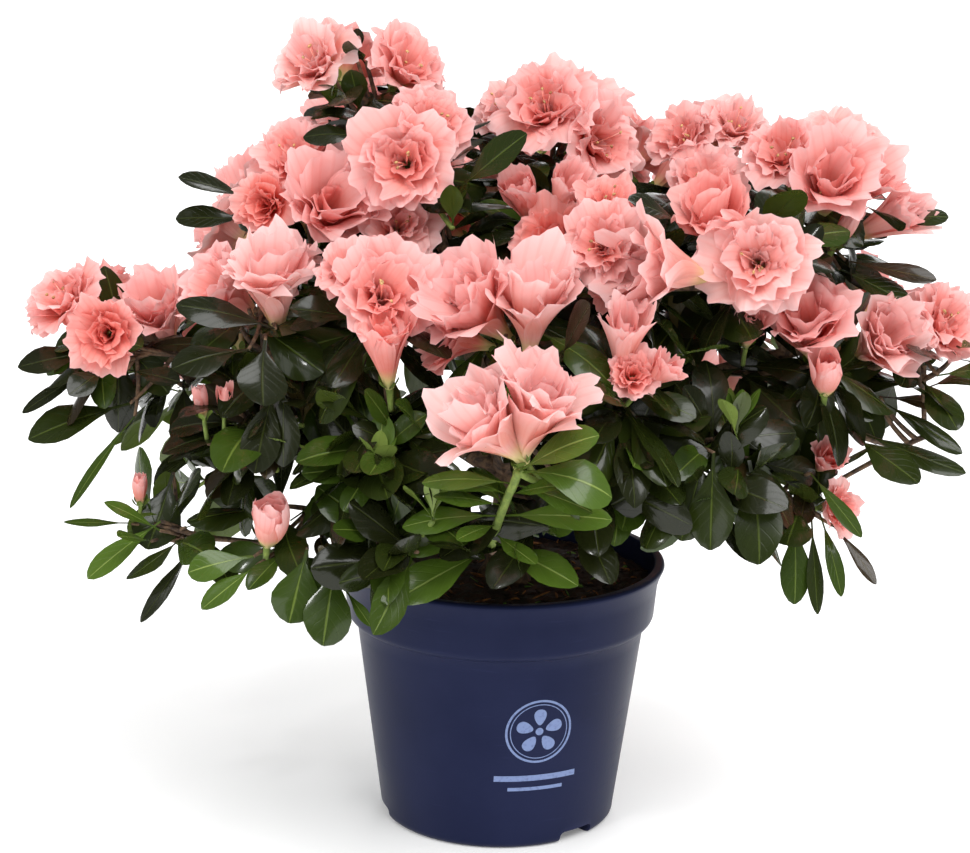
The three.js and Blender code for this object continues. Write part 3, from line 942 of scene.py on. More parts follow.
def dress_bloom(kit, limb, foot, direction, size, kind, tint):
    """The calyx, stalk, node, twig and rosette of leaves under a bloom."""
    node = foot - direction * 9 * MM - UP * 2 * MM
    add_calyx(kit["twigs"], kit["leaves"], foot, direction, node, size, YOUNG_GREEN)
    young = tint == YOUNG_GREEN
    start = point_at(limb[0], 1.0 if young else rng.uniform(0.6, 1.0))
    middle = (start + node) / 2 - direction * 5 * MM
    bark = TWIG_GREEN if young else TWIG_BARK
    add_twig(kit["twigs"], start, middle, node, 1.7 * MM, 1.2 * MM, bark)
    if kind in ("bud", "plump") or young:
        return
    axis = unit(direction + 0.4 * UP)
    add_rosette(kit["leaves"], node, axis, 7, 1.0, tint, 8 * MM, (62, 112))


def region(mass):
    """Pieces are joined by quarter of the crown."""
    centre = mass_centre(mass)
    return ("front" if centre[1] < 0 else "back") + ("_left" if centre[0] < 0 else "_right")


def grow_blossom(kits):
    """Every bloom's petals and stamens. Returns what each needs under it."""
    grown = []
    for mass in MASSES:
        kit = kits[region(mass)]
        for place, direction, size, kind, tone in (*listed_blooms(mass), *ruled_blooms(mass)):
            foot = add_bloom(kit["blossom"], place, direction, size, kind, tone)
            bloom_places.append(place)
            bloom_reaches.append(REACHES[kind] * size * MM)
            if kind in ("open", "cup"):
                add_stamens(kit["stamens"], foot, direction, size)
            grown.append((mass, foot, direction, size, kind))
    return grown


def add_single_leaf(heap, base, bearing, elevation, length, width, tint, droop):
    """One leaf in a stated direction, its upper side up."""
    direction = facing(bearing, elevation)
    upper = UP + facing(0, 0) * 0.7
    upper = unit(upper - direction * (upper @ direction))
    points = leaf_points(base, direction, upper, length * MM, width * MM,
                         math.radians(droop), rng.uniform(0.1, 0.5))
    heap.add(points, LEAF_FACES, tint, LEAF_ACROSS, LEAF_ALONG)


def grow_single_leaves(ends, kits):
    """The leaves that stand clear of the rest, each on its own short twig."""
    for mass, rows in LEAVES.items():
        kit, path = kits[region(mass)], ends[mass][0]
        for across, behind, height, *leaf in rows:
            base = place_in(mass, across, behind, height)
            start = point_at(path, rng.uniform(0.6, 1.0))
            middle = (start + base) / 2 - facing(leaf[0], 0) * 4 * MM
            add_twig(kit["twigs"], start, middle, base, 1.2 * MM, 0.7 * MM, TWIG_BARK)
            add_single_leaf(kit["leaves"], base, *leaf)
    for mass, rows in LEAF_BUDS.items():
        kit, start = kits[region(mass)], ends[mass][0][-1]
        for across, behind, height, size, tint in rows:
            base = place_in(mass, across, behind, height)
            middle = (start + base) / 2 - UP * 5 * MM
            add_twig(kit["twigs"], start, middle, base, 1.3 * MM, 1.1 * MM, TWIG_GREEN)
            add_rosette(kit["leaves"], base + UP * 3 * MM, UP, 6, size, tint, 3 * MM, (4, 26))


def grow_shoot(kit):
    """The long green shoot at the front, with leaves up its whole height."""
    foot, lean, tip = (np.array(place) * MM for place in SHOOT)
    path = add_twig(kit["twigs"], foot, lean, tip, 1.9 * MM, 1.6 * MM, TWIG_GREEN)
    start, sag, end = (np.array(place) * MM for place in SHOOT_FOOT)
    add_twig(kit["twigs"], start, sag, end, 2.6 * MM, 1.9 * MM, TWIG_BARK)
    for share, bearing, elevation, length, width, droop in SHOOT_LEAVES:
        add_single_leaf(kit["leaves"], point_at(path, share), bearing, elevation, length, width,
                        YOUNG_GREEN, droop)
    return path, np.full(len(path), 2.0 * MM)


def grow_leaves(ends, kits, grown):
    """Leaves under every bloom, then leafy sprays over every mass."""
    grow_single_leaves(ends, kits)
    for mass, foot, direction, size, kind in grown:
        tint = YOUNG_GREEN if mass == "front_shoot" else spray_tint(foot[2])
        dress_bloom(kits[region(mass)], ends[mass], foot, direction, size, kind, tint)
    for mass in MASSES:
        blooming = sum(1 for bloom in grown if bloom[0] == mass)
        sprays = SPRAYS.get(mass, 9 if blooming < 2 else 5)
        reach = 0.55 if blooming < 2 else 0.4
        for place, direction in sites(mass, sprays, reach) if sprays else ():
            if not is_free((place + direction * SPRAY_ROOM)[None]):
                continue
            tint = spray_tint(place[2])
            grow_spray(kits[region(mass)], ends[mass], place, direction,
                       int(rng.integers(6, 9)), rng.uniform(0.9, 1.15), tint)


# ------------------------------------------------------------------ pot


def spun(profile, steps):
    """A closed ring body from a closed outline of (radius, height) points, in metres."""
    bm = bmesh.new()
    verts = [bm.verts.new((r * MM, 0, z * MM)) for r, z in profile]
    edges = [bm.edges.new((verts[i], verts[(i + 1) % len(verts)])) for i in range(len(verts))]
    bmesh.ops.spin(bm, geom=verts + edges, cent=(0, 0, 0), axis=(0, 0, 1), angle=math.tau,
                   steps=steps, use_merge=True, use_duplicate=False)
    bmesh.ops.remove_doubles(bm, verts=bm.verts, dist=1e-6)
    bmesh.ops.recalc_face_normals(bm, faces=bm.faces)
    return bm


def arc(centre, radius, start, end, steps):
    """Points of a round corner, its angles in degrees."""
    angles = np.radians(np.linspace(start, end, steps + 1))
    return [(centre[0] + radius * math.cos(a), centre[1] + radius * math.sin(a)) for a in angles]


def between(low, high, steps):
    """Evenly spaced points between two, without the ends."""
    shares = [(i + 1) / (steps + 1) for i in range(steps)]
    return [(low[0] + (high[0] - low[0]) * s, low[1] + (high[1] - low[1]) * s) for s in shares]


def pot_profile():
    """The wall's outline: up the outside from the foot, over the lip and down the inside."""
    lip_foot = POT_HEIGHT - LIP_DEPTH
    outside = arc((FOOT_RADIUS - FOOT_ROUNDING, FOOT_ROUNDING), FOOT_ROUNDING, -90, 4, 6)
    outside += between(outside[-1], SHOULDER, 14) + [SHOULDER]
    outside += arc((COLLAR_FOOT[0] - COLLAR_ROUNDING, COLLAR_FOOT[1]), COLLAR_ROUNDING, -78, 0, 7)
    outside += between(COLLAR_FOOT, (COLLAR_TOP_RADIUS, lip_foot), 4)
    for share in (0, 0.15, 0.3, 0.45, 0.6, 0.75, 0.9):
        flare = (LIP_RADIUS - COLLAR_TOP_RADIUS) * share ** 1.5
        outside.append((COLLAR_TOP_RADIUS + flare, lip_foot + (LIP_DEPTH - LIP_ROUNDING) * share))
    outside += arc((LIP_RADIUS - LIP_ROUNDING, POT_HEIGHT - LIP_ROUNDING), LIP_ROUNDING, 0, 90, 5)
    inner = (COLLAR_TOP_RADIUS - WALL + INNER_ROUNDING, POT_HEIGHT - INNER_ROUNDING)
    outside += arc(inner, INNER_ROUNDING, 90, 180, 3)
    inside = [(COLLAR_FOOT[0] - WALL, COLLAR_FOOT[1]), (SHOULDER[0] - WALL, SHOULDER[1])]
    inside += [(FOOT_RADIUS - WALL - 0.6, POT_FLOOR + 1.5), (FOOT_RADIUS - WALL - 2.2, POT_FLOOR)]
    return outside + inside + [(20, POT_FLOOR), (20, 0)]


def notch_cutter():
    """Three round-topped wedges through the wall's foot, in one mesh."""
    bm = bmesh.new()
    for bearing in NOTCH_BEARINGS:
        made = bmesh.ops.create_cube(bm, size=1)["verts"]
        width = 2 * FOOT_RADIUS * math.sin(math.radians(NOTCH_ANGLE / 2)) * MM
        size = (width, 2 * NOTCH_DEPTH * MM, 2 * NOTCH_HEIGHT * MM)
        bmesh.ops.scale(bm, vec=size, verts=made)
        edges = {e for v in made for e in v.link_edges
                 if abs(e.verts[0].co.y - e.verts[1].co.y) > 1e-6 and e.verts[0].co.z > 0}
        bevelled = bmesh.ops.bevel(bm, geom=list(edges), offset=2.2 * MM, affect="EDGES",
                                   segments=4, profile=0.5, material=-1)
        made = list({v for f in bevelled["faces"] for v in f.verts} | {v for v in made if v.is_valid})
        turn = Matrix.Rotation(math.radians(bearing), 3, "Z")
        bmesh.ops.translate(bm, vec=(0, -FOOT_RADIUS * MM, 0), verts=made)
        bmesh.ops.rotate(bm, cent=(0, 0, 0), matrix=turn, verts=made)
    return from_bmesh("notch_cutter", bm, [])


def build_pot(plastic):
    """The pot's shell: wall, collar, lip and floor, with the notches cut through its foot."""
    bm = spun(pot_profile(), POT_STEPS)
    bmesh.ops.holes_fill(bm, edges=bm.edges, sides=POT_STEPS)
    pot = from_bmesh("pot_shell", bm, [plastic])
    cutter = notch_cutter()
    cut = pot.modifiers.new("notches", "BOOLEAN")
    cut.operation, cut.solver, cut.object = "DIFFERENCE", "EXACT", cutter
    bpy.context.view_layer.update()
    shaped = bpy.data.meshes.new_from_object(pot.evaluated_get(bpy.context.evaluated_depsgraph_get()))
    pot.modifiers.clear()
    pot.data = shaped
    bpy.data.objects.remove(cutter)
    smooth_all(shaped)
    shaped.set_sharp_from_angle(angle=math.radians(38))
    return pot


def wall_radius(height):
    """Outer radius of the straight wall at a height, both in millimetres."""
    share = (height - FOOT_ROUNDING) / (SHOULDER[1] - FOOT_ROUNDING)
    return FOOT_RADIUS + (SHOULDER[0] - FOOT_RADIUS) * share


def wrap_on_wall(bm):
    """Takes a flat emblem, drawn in millimetres across and up, on to the pot's wall."""
    for vert in bm.verts:
        height = EMBLEM_HEIGHT + vert.co.y
        radius = wall_radius(height) + EMBLEM_LIFT + vert.co.z
        angle = math.radians(EMBLEM_BEARING) + vert.co.x / wall_radius(height)
        vert.co = Vector((math.sin(angle) * radius, -math.cos(angle) * radius, height)) * MM


def flat_ring(bm, outer, inner):
    """A flat ring of ink."""
    edge = bmesh.ops.create_circle(bm, segments=72, radius=outer)["verts"]
    edges = list({link for vert in edge for link in vert.link_edges})
    made = new_verts(bmesh.ops.extrude_edge_only(bm, edges=edges))
    bmesh.ops.scale(bm, vec=(inner / outer, inner / outer, 1), verts=made)


def flat_petal(bm, bearing, near, far, width):
    """One plain petal of ink, pointing away from the emblem's middle."""
    made = bmesh.ops.create_circle(bm, segments=28, radius=1, cap_ends=True)["verts"]
    for vert in made:
        along = (vert.co.y + 1) / 2
        vert.co = Vector((vert.co.x * width / 2 * (0.55 + 0.6 * along), near + (far - near) * along, 0))
    turn = Matrix.Rotation(math.radians(bearing), 3, "Z")
    bmesh.ops.rotate(bm, cent=(0, 0, 0), matrix=turn, verts=made)


def flat_bar(bm, length, height, level):
    """One plain rounded bar of ink."""
    made = bmesh.ops.create_grid(bm, x_segments=24, y_segments=1, size=0.5)["verts"]
    bmesh.ops.scale(bm, vec=(length, height, 1), verts=made)
    bmesh.ops.translate(bm, vec=(0, level, 0), verts=made)


def build_emblem(ink):
    """A plain five-petalled flower in a ring over two plain bars, printed on the wall."""
    bm = bmesh.new()
    flat_ring(bm, EMBLEM_RADIUS, EMBLEM_RADIUS - 1.0)
    flat_ring(bm, EMBLEM_RADIUS - 2.0, EMBLEM_RADIUS - 2.4)
    for number in range(EMBLEM_PETALS):
        flat_petal(bm, number * 360 / EMBLEM_PETALS, 2.9, 10.2, 6.0)
    bmesh.ops.create_circle(bm, segments=24, radius=1.7, cap_ends=True)
    for length, height, level in EMBLEM_BARS:
        flat_bar(bm, length, height, level)
    bmesh.ops.recalc_face_normals(bm, faces=bm.faces)
    for face in bm.faces:
        if face.normal.z < 0:
            face.normal_flip()
    bmesh.ops.solidify(bm, geom=list(bm.faces), thickness=-INK_THICKNESS)
    wrap_on_wall(bm)
    bmesh.ops.recalc_face_normals(bm, faces=bm.faces)
    return from_bmesh("printed_emblem", bm, [ink])


# ------------------------------------------------------------------ peat


def peat_height(x, y):
    """Crumbly surface of the peat, in metres."""
    r = math.hypot(x, y) / (COLLAR_TOP_RADIUS * MM)
    base = PEAT_EDGE + PEAT_CROWN * (1 - r * r)
    lumps = noise.fractal(Vector((x, y, 0.3)) * 160, 0.9, 2.1, 4) * 1.5
    return (base + lumps - 0.4) * MM


def build_peat(soil):
    """The root ball's crumbly top, with its side down inside the wall."""
    bm = bmesh.new()
    bmesh.ops.create_grid(bm, x_segments=90, y_segments=90, size=1)
    radius = (COLLAR_TOP_RADIUS - WALL - PEAT_GAP) * MM
    for vert in bm.verts:
        x, y = vert.co.x, vert.co.y
        vert.co.x = radius * x * math.sqrt(1 - y * y / 2)
        vert.co.y = radius * y * math.sqrt(1 - x * x / 2)
        vert.co.z = peat_height(vert.co.x, vert.co.y)
    rim = [edge for edge in bm.edges if edge.is_boundary]
    for vert in new_verts(bmesh.ops.extrude_edge_only(bm, edges=rim)):
        vert.co.z = (PEAT_EDGE - PEAT_SIDE) * MM
        vert.co.x *= 0.985
        vert.co.y *= 0.985
    bmesh.ops.holes_fill(bm, edges=bm.edges, sides=400)
    bmesh.ops.recalc_face_normals(bm, faces=bm.faces)
    peat = from_bmesh("peat_top", bm, [soil])
    smooth_all(peat.data)
    return peat


def build_peat_bits(materials):
    """Woody bits and crumbs lying on the peat, and a few tiny green sprouts."""
    heap = Heap(2)
    for _ in range(PEAT_BITS):
        r = math.sqrt(rng.random()) * (COLLAR_TOP_RADIUS - 4) * MM
        angle = rng.random() * math.tau
        x, y = r * math.cos(angle), r * math.sin(angle)
        kind = int(rng.choice([0, 1, 2], p=[0.62, 0.34, 0.04]))
        length = rng.uniform(2.0, 6.5) * MM * (1.3 if kind == 1 else 1)
        flat = rng.uniform(-0.35, 0.35)
        turn = rng.random() * math.tau
        along = np.array([math.cos(turn), math.sin(turn), flat])
        base = np.array([x, y, peat_height(x, y) + 0.4 * MM])
        middle = base + along * length / 2 + rng.normal(0, 0.5, 3) * MM
        path = bent(base, middle, base + along * length, max(THREAD_FORM[1]))
        thick = rng.uniform(0.25, 0.8) * MM
        radii = thick * np.array([0.3, 0.9, 1.0, 1.0, 0.8, 0.3])
        add_tube(heap, THREAD_FORM, path, radii, kind)
    return heap.piece("peat_bits", materials)


# ------------------------------------------------------------------ materials


def shade(red, green, blue):
    """A linear colour from its everyday 0 to 255 values."""
    def linear(value):
        value /= 255
        return value / 12.92 if value <= 0.04045 else ((value + 0.055) / 1.055) ** 2.4
    return (linear(red), linear(green), linear(blue), 1)


class Nodes:
    """Short calls for building a node tree."""

    def __init__(self, tree):
        self.tree = tree

    def add(self, kind, inputs=(), **settings):
        node = self.tree.nodes.new(kind)
        for name, value in settings.items():
            setattr(node, name, value)
        for name, value in dict(inputs).items():
            if isinstance(value, bpy.types.NodeSocket):
                self.tree.links.new(value, node.inputs[name])
            else:
                node.inputs[name].default_value = value
        return node

    def math(self, operation, first, second=0.5):
        return self.add("ShaderNodeMath", {0: first, 1: second}, operation=operation).outputs[0]

    def mix(self, share, first, second, blend="MIX"):
        inputs = {0: share, 6: first, 7: second}
        return self.add("ShaderNodeMix", inputs, data_type="RGBA", blend_type=blend).outputs[2]

    def noise(self, place, scale, detail, **more):
        inputs = {"Vector": place, "Scale": scale, "Detail": detail, **more}
        return self.add("ShaderNodeTexNoise", inputs).outputs[0]

    def feed(self, node, **sockets):
        """Links sockets to a node's inputs, named with _ for a space."""
        for title, socket in sockets.items():
            self.tree.links.new(socket, node.inputs[title.replace("_", " ")])

    def span(self, value, low, high, to_low=0.0, to_high=1.0):
        node = self.add("ShaderNodeMapRange", {0: value, 1: low, 2: high, 3: to_low, 4: to_high},
                        interpolation_type="SMOOTHSTEP")
        return node.outputs[0]


COLOUR, NUMBER, VECTOR = "NodeSocketColor", "NodeSocketFloat", "NodeSocketVector"


def new_group(name, *titles):
    """A shared pattern: colours, and a shape's cell of the map where it has one, to a finish."""
    tree = bpy.data.node_groups.new(name, "ShaderNodeTree")
    for title in titles:
        kind = VECTOR if title == "Cell" else COLOUR
        tree.interface.new_socket(title, in_out="INPUT", socket_type=kind)
    for title, kind in (("Color", COLOUR), ("Roughness", NUMBER), ("Height", NUMBER)):
        tree.interface.new_socket(title, in_out="OUTPUT", socket_type=kind)
    nodes = Nodes(tree)
    return tree, nodes, nodes.add("NodeGroupInput").outputs, nodes.add("NodeGroupOutput")


def cell_place(nodes, cell, cells):
    """Place within a shape's own cell of the map: across and along, each 0 to 1."""
    uv = nodes.add("ShaderNodeUVMap", uv_map="OFBake").outputs[0]
    place = nodes.add("ShaderNodeVectorMath", {0: uv, 1: (cells,) * 3}, operation="MULTIPLY")
    place = nodes.add("ShaderNodeVectorMath", {0: place.outputs[0], 1: cell}, operation="SUBTRACT")
    parts = nodes.add("ShaderNodeSeparateXYZ", {0: place.outputs[0]})
    return parts.outputs[0], parts.outputs[1]


CELLS = 3  # cells along each side of a leaf's or petal's map


def leaf_group():
    """Blade with a pale midrib, faint side veins and mottling."""
    tree, nodes, given, out = new_group("leaf_blade", "Cell", "Blade", "Rib", "Tip")
    across, along = cell_place(nodes, given["Cell"], CELLS)
    off = nodes.math("ABSOLUTE", nodes.math("SUBTRACT", across, 0.5))
    rib = nodes.span(off, 0.010, 0.035, 1.0, 0.0)
    slant = nodes.math("MULTIPLY", off, -0.55)
    course = nodes.math("MULTIPLY", nodes.math("ADD", along, slant), 52.0)
    veins = nodes.span(nodes.math("SINE", course), 0.80, 1.0)
    place = nodes.add("ShaderNodeTexCoord").outputs["Object"]
    mottle = nodes.noise(place, 55, 4)
    broad = nodes.noise(place, 16, 2)
    tipped = nodes.mix(nodes.span(along, 0.55, 1.0, 0.0, 0.4), given["Blade"], given["Tip"])
    varied = nodes.mix(nodes.span(mottle, 0.35, 0.7, 0.0, 0.35), tipped, given["Tip"])
    toned = nodes.mix(nodes.span(broad, 0.4, 0.65, 0.0, 0.35), varied,
                      nodes.mix(1.0, varied, (0.45, 0.5, 0.45, 1), "MULTIPLY"))
    veined = nodes.mix(nodes.math("MULTIPLY", veins, 0.03), toned, given["Rib"])
    coloured = nodes.mix(nodes.math("MULTIPLY", rib, 0.6), veined, given["Rib"])
    rough = nodes.span(mottle, 0.3, 0.75, 0.20, 0.32)
    dent = nodes.math("ADD", nodes.math("MULTIPLY", veins, -0.12), nodes.math("MULTIPLY", rib, -1.0))
    dent = nodes.math("ADD", dent, nodes.math("MULTIPLY", mottle, 0.8))
    nodes.feed(out, Color=coloured, Roughness=rough, Height=dent)
    return tree


def petal_group():
    """Petal from its greenish claw through a deep throat to a pale thin rim, with fine veins."""
    tree, nodes, given, out = new_group("petal_blade", "Cell", "Claw", "Throat", "Blade", "Rim")
    across, along = cell_place(nodes, given["Cell"], CELLS)
    off = nodes.math("ABSOLUTE", nodes.math("SUBTRACT", across, 0.5))
    place = nodes.add("ShaderNodeTexCoord").outputs["Object"]
    cloud = nodes.noise(place, 60, 3)
    crinkle = nodes.noise(place, 420, 3)
    wander = nodes.math("MULTIPLY", nodes.math("SUBTRACT", cloud, 0.5), 2.2)
    course = nodes.math("ADD", nodes.math("MULTIPLY", across, 62.0), wander)
    veins = nodes.span(nodes.math("SINE", course), 0.45, 1.0)
    body = nodes.mix(nodes.span(along, 0.42, 0.9, 0.0, 1.0), given["Throat"], given["Blade"])
    edge = nodes.math("MAXIMUM", nodes.span(along, 0.86, 1.0, 0.0, 0.8),
                      nodes.span(off, 0.38, 0.5, 0.0, 0.5))
    body = nodes.mix(edge, body, given["Rim"])
    body = nodes.mix(nodes.span(cloud, 0.35, 0.7, 0.0, 0.35), body, given["Rim"])
    shadowed = nodes.mix(1.0, body, given["Throat"], "MULTIPLY")
    body = nodes.mix(nodes.math("MULTIPLY", veins, 0.13), body, shadowed)
    claw = nodes.span(along, 0.08, 0.40, 1.0, 0.0)
    body = nodes.mix(claw, body, given["Claw"])
    height = nodes.math("ADD", nodes.math("MULTIPLY", veins, -0.6),
                        nodes.math("MULTIPLY", crinkle, 0.8))
    nodes.feed(out, Color=body, Roughness=nodes.span(crinkle, 0.3, 0.7, 0.42, 0.62), Height=height)
    return tree


def bark_group():
    """Long flaking grain of two browns."""
    tree, nodes, given, out = new_group("bark_grain", "Dark", "Light")
    place = nodes.add("ShaderNodeTexCoord").outputs["Object"]
    flakes = nodes.noise(place, 320, 5, Roughness=0.65, Distortion=0.4)
    patches = nodes.add("ShaderNodeTexVoronoi", {"Vector": place, "Scale": 260}).outputs[0]
    mixed = nodes.mix(nodes.span(flakes, 0.35, 0.65), given["Dark"], given["Light"])
    mixed = nodes.mix(nodes.span(patches, 0.0, 0.35, 0.5, 0.0), mixed, given["Dark"])
    height = nodes.math("ADD", flakes, patches)
    nodes.feed(out, Color=mixed, Roughness=nodes.span(flakes, 0.2, 0.8, 0.6, 0.95), Height=height)
    return tree


def new_material(name, **fixed):
    """A Principled material with plain values set on its own sockets."""
    material = bpy.data.materials.new(name)
    material.use_nodes = True
    nodes = Nodes(material.node_tree)
    surface = material.node_tree.nodes["Principled BSDF"]
    for title, value in fixed.items():
        surface.inputs[title.replace("_", " ")].default_value = value
    return material, nodes, surface


def from_group(name, tree, bump, distance, values, cell=None, **fixed):
    """A material whose colour, roughness and relief come from a shared group."""
    material, nodes, surface = new_material(name, **fixed)
    group = nodes.add("ShaderNodeGroup", node_tree=tree)
    for title, value in values.items():
        group.inputs[title].default_value = value
    if cell is not None:
        group.inputs["Cell"].default_value = (cell % CELLS, cell // CELLS, 0)
    relief = nodes.add("ShaderNodeBump", {"Strength": bump, "Distance": distance,
                                          "Height": group.outputs["Height"]})
    nodes.feed(surface, Base_Color=group.outputs["Color"], Roughness=group.outputs["Roughness"],
               Normal=relief.outputs[0])
    return material, nodes, surface, group


def leaf_materials():
    """One green or russet for each tint of leaf, paler and plainer underneath."""
    tree = leaf_group()
    tints = (
        ("leaf_black_green", (29, 33, 12), (56, 64, 24), (23, 27, 10)),
        ("leaf_deep_green", (39, 48, 14), (78, 92, 33), (31, 40, 12)),
        ("leaf_mid_green", (52, 70, 19), (108, 126, 54), (43, 59, 16)),
        ("leaf_young_green", (74, 98, 31), (142, 160, 82), (62, 84, 27)),
        ("leaf_russet", (48, 37, 19), (84, 76, 40), (36, 30, 16)),
    )
    made = []
    for cell, (name, blade, rib, tip) in enumerate(tints):
        values = {"Blade": shade(*blade), "Rib": shade(*rib), "Tip": shade(*tip)}
        material, nodes, surface, group = from_group(
            name, tree, 0.45, 0.0008, values, cell, Specular_IOR_Level=0.22, Coat_Weight=0.3,
            Coat_Roughness=0.09)
        underside = nodes.mix(0.45, shade(*rib), shade(*blade))
        back = nodes.add("ShaderNodeNewGeometry").outputs["Backfacing"]
        colour = nodes.mix(back, group.outputs["Color"], underside)
        nodes.feed(surface, Base_Color=colour)
        made.append(material)
    return made


PETAL_GLOW = 0.35  # how much of a petal's light comes through from behind


def petal_materials():
    """One pink for each tone of petal, thin enough for light to come through."""
    tree = petal_group()
    tones = (
        ("petal_blush", (247, 174, 158), (252, 201, 196), (253, 218, 217)),
        ("petal_salmon", (246, 158, 141), (250, 189, 184), (251, 208, 207)),
        ("petal_coral", (243, 138, 121), (249, 171, 163), (251, 197, 193)),
        ("petal_deep", (237, 118, 101), (246, 153, 142), (249, 185, 178)),
        ("petal_heart", (230, 102, 85), (243, 137, 124), (246, 172, 163)),
    )
    claw = shade(236, 228, 156)
    made = []
    for cell, (name, throat, blade, rim) in enumerate(tones):
        values = {"Claw": claw, "Throat": shade(*throat), "Blade": shade(*blade), "Rim": shade(*rim)}
        material, nodes, surface, group = from_group(name, tree, 0.22, 0.0004, values, cell)
        glow = nodes.add("ShaderNodeBsdfTranslucent", {"Color": group.outputs["Color"]})
        both = nodes.add("ShaderNodeMixShader", {0: PETAL_GLOW, 1: surface.outputs[0],
                                                 2: glow.outputs[0]})
        nodes.feed(material.node_tree.nodes["Material Output"], Surface=both.outputs[0])
        made.append(material)
    return made


def bark_materials(tree):
    """Old brown bark and the green skin of young shoots."""
    old, *_ = from_group("bark_brown", tree, 0.6, 0.0008,
                         {"Dark": shade(52, 36, 26), "Light": shade(120, 94, 70)})
    green, *_ = from_group("shoot_green", tree, 0.08, 0.0002,
                           {"Dark": shade(96, 116, 48), "Light": shade(128, 146, 68)})
    return [old, green]


def plastic_material():
    """Moulded navy plastic with a fine satin grain, a trace of handling marks and a painted highlight
    along its rounded edges.
    """
    material, nodes, surface = new_material("navy_plastic", Specular_IOR_Level=0.12,
                                            Specular_Tint=(0.6, 0.66, 1, 1))
    place = nodes.add("ShaderNodeTexCoord").outputs["Object"]
    grain = nodes.noise(place, 900, 2)
    broad = nodes.noise(place, 22, 4)
    stretch = nodes.add("ShaderNodeMapping", {"Vector": place, "Scale": (60, 60, 900)})
    scuffs = nodes.noise(stretch.outputs[0], 1, 3)
    body = nodes.mix(nodes.span(broad, 0.35, 0.65), shade(24, 29, 55), shade(29, 34, 61))
    marks = nodes.span(scuffs, 0.62, 0.8, 0.0, 0.12)
    body = nodes.mix(marks, body, shade(66, 69, 112))
    # Painted highlight: the lip, collar, foot and notch roundings are lightened where the surface is
    # most convex.
    edge = nodes.add("ShaderNodeNewGeometry").outputs["Pointiness"]
    body = nodes.mix(nodes.span(edge, 0.52, 0.6, 0.0, 0.35), body, shade(70, 74, 116))
    rough = nodes.math("ADD", nodes.span(broad, 0.3, 0.7, 0.34, 0.44), marks)
    relief = nodes.add("ShaderNodeBump", {"Strength": 0.12, "Distance": 0.0002, "Height": grain})
    nodes.feed(surface, Base_Color=body, Roughness=rough, Normal=relief.outputs[0])
    return material


def ink_material():
    """Pale blue pad print, worn a little thin."""
    material, nodes, surface = new_material("emblem_ink")
    place = nodes.add("ShaderNodeTexCoord").outputs["Object"]
    worn = nodes.noise(place, 700, 4)
    colour = nodes.mix(nodes.span(worn, 0.5, 0.72, 0.0, 0.45),
                       shade(112, 130, 174), shade(62, 72, 118))
    nodes.feed(surface, Base_Color=colour, Roughness=nodes.span(worn, 0.3, 0.7, 0.4, 0.55))
    return material


def soil_materials(tree):
    """Moist peat, and the bits that lie on it."""
    kinds = (("peat_brown", (24, 15, 11), (66, 42, 28)), ("peat_crumb", (30, 20, 15), (74, 50, 36)),
             ("woody_bit", (92, 54, 26), (168, 112, 62)), ("sprout_green", (60, 96, 30), (120, 160, 60)))
    return [from_group(name, tree, 0.9, 0.0012, {"Dark": shade(*dark), "Light": shade(*light)})[0]
            for name, dark, light in kinds]


def stamen_materials(tree):
    thread, *_ = from_group("stamen_thread", tree, 0.1, 0.0002,
                            {"Dark": shade(244, 150, 132), "Light": shade(252, 196, 180)})
    pollen, *_ = from_group("stamen_tip", tree, 0.3, 0.0003,
                            {"Dark": shade(150, 106, 70), "Light": shade(214, 176, 120)})
    return [thread, pollen]


# ------------------------------------------------------------------ camera, floor and light

FLOOR_RADIUS = 6
CAMERA_PLACE = (-8, -1160, 469)
CAMERA_DOWN = 14.4
CAMERA_ROLL = 1.0
CAMERA_LENS = 104.9


def set_camera():
    data = bpy.data.cameras.new("camera")
    data.sensor_width = 36
    data.lens = CAMERA_LENS
    data.clip_end = 20
    camera = bpy.data.objects.new("camera", data)
    bpy.context.scene.collection.objects.link(camera)
    tilt = Matrix.Rotation(math.radians(90 - CAMERA_DOWN), 4, "X")
    roll = Matrix.Rotation(math.radians(CAMERA_ROLL), 4, "Z")
    camera.matrix_world = Matrix.Translation(Vector(CAMERA_PLACE) * MM) @ tilt @ roll
    bpy.context.scene.camera = camera


def set_stage():
    """A plain pale round floor."""
    bm = bmesh.new()
    bmesh.ops.create_circle(bm, segments=96, radius=FLOOR_RADIUS, cap_ends=True)
    material, *_ = new_material("pale_floor", Roughness=0.9, Base_Color=(0.9, 0.9, 0.9, 1),
                                Specular_IOR_Level=0.1, Emission_Color=(1, 1, 1, 1),
                                Emission_Strength=0.15)
    from_bmesh("floor", bm, [material])


def softbox(name, place, target, size, power, colour=(1, 1, 1)):
    data = bpy.data.lights.new(name, "AREA")
    data.shape, data.size, data.energy, data.color = "SQUARE", size, power, colour
    lamp = bpy.data.objects.new(name, data)
    lamp.location = place
    lamp.rotation_euler = (Vector(target) - Vector(place)).to_track_quat("-Z", "Y").to_euler()
    bpy.context.scene.collection.objects.link(lamp)


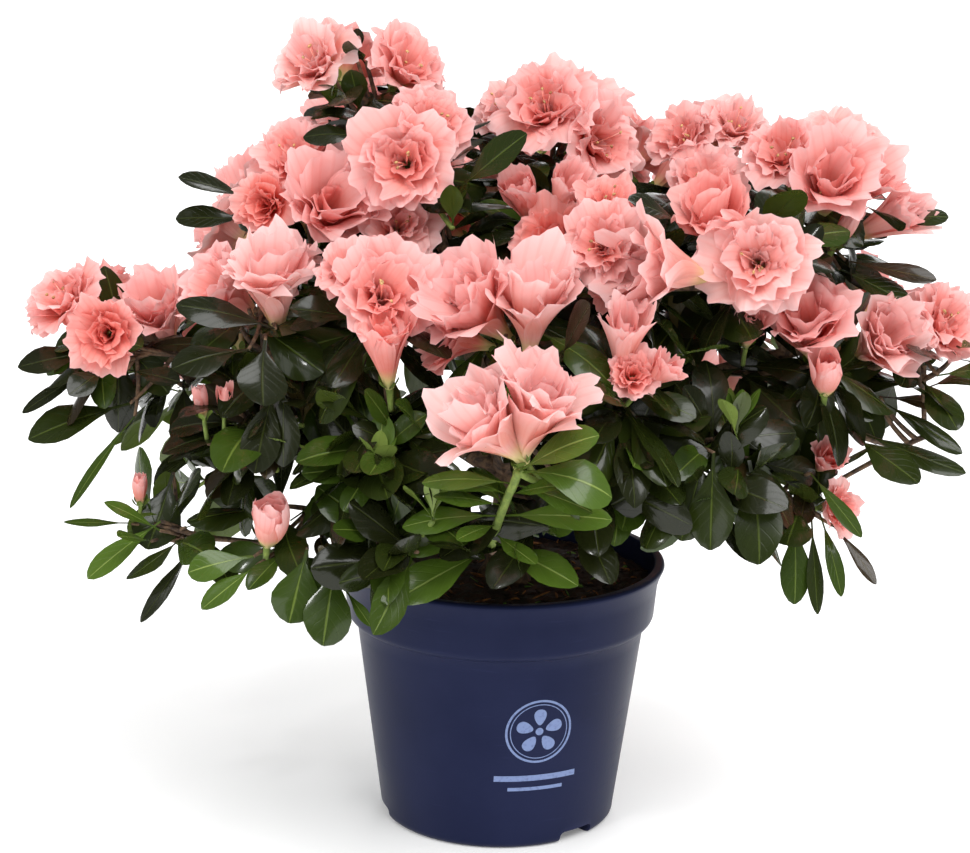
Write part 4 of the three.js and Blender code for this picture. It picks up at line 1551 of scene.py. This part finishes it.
def set_light():
    world = bpy.data.worlds.new("studio")
    world.use_nodes = True
    sky = world.node_tree.nodes["Background"]
    sky.inputs[0].default_value = (1, 1, 1, 1)
    nodes = Nodes(world.node_tree)
    ray = nodes.add("ShaderNodeLightPath").outputs
    plain = nodes.add("ShaderNodeMapRange", {0: ray["Is Camera Ray"], 3: 0.8, 4: 1.0}).outputs[0]
    strength = nodes.add("ShaderNodeMapRange", {0: ray["Is Glossy Ray"], 3: plain, 4: 0.15}).outputs[0]
    nodes.tree.links.new(strength, sky.inputs[1])
    bpy.context.scene.world = world
    bpy.context.scene.view_settings.view_transform = "Standard"
    key = bpy.data.lights.new("key", "SUN")
    key.energy, key.angle = 2.25, math.radians(40)
    lamp = bpy.data.objects.new("key", key)
    lamp.rotation_euler = Vector((0.45, -0.75, 1.3)).to_track_quat("Z", "Y").to_euler()
    bpy.context.scene.collection.objects.link(lamp)
    softbox("fill", (-1.2, -1.3, 0.6), (0, 0, 0.2), 1.0, 5)
    softbox("glint", (-0.55, -0.9, 1.1), (0, 0, 0.2), 0.1, 2)
    softbox("rim", (0.4, 1.5, 1.3), (0, 0, 0.22), 1.0, 12)


# ------------------------------------------------------------------ building it all


def declare(piece, nodes=()):
    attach(piece, "root")
    if nodes:
        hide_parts(*nodes)


set_camera()
set_stage()
set_light()

REGIONS = ("front_left", "front_right", "back_left", "back_right")
kits = {}
shared_twigs, shared_stamens, limb_heap = Heap(2), Heap(2), Heap(1)
for quarter in REGIONS:
    kits[quarter] = {"leaves": Heap(CELLS), "blossom": Heap(CELLS), "twigs": shared_twigs,
                     "stamens": shared_stamens}

limbs = grow_limbs(limb_heap)
ends = grow_side_boughs(shared_twigs, limbs)
ends["front_shoot"] = grow_shoot(kits["front_right"])
grow_leaves(ends, kits, grow_blossom(kits))

bark_grain = bark_group()
leaf_looks, petal_looks, bark_looks = leaf_materials(), petal_materials(), bark_materials(bark_grain)
declare(limb_heap.piece("stem_and_boughs", bark_looks[:1]),
        ["stem"] + ["bough_" + bough[0] for bough in BOUGHS])
declare(shared_twigs.piece("twigs", bark_looks))
declare(shared_stamens.piece("stamens", stamen_materials(bark_grain)))
for quarter in REGIONS:
    inside = ["mass_" + mass for mass in MASSES if region(mass) == quarter]
    declare(kits[quarter]["leaves"].piece("leaves_" + quarter, leaf_looks), inside)
    declare(kits[quarter]["blossom"].piece("blossom_" + quarter, petal_looks), inside)

peat_brown, *bit_looks = soil_materials(bark_grain)
declare(build_pot(plastic_material()), ["pot"])
declare(build_emblem(ink_material()))
declare(build_peat(peat_brown), ["peat"])
declare(build_peat_bits(bit_looks))
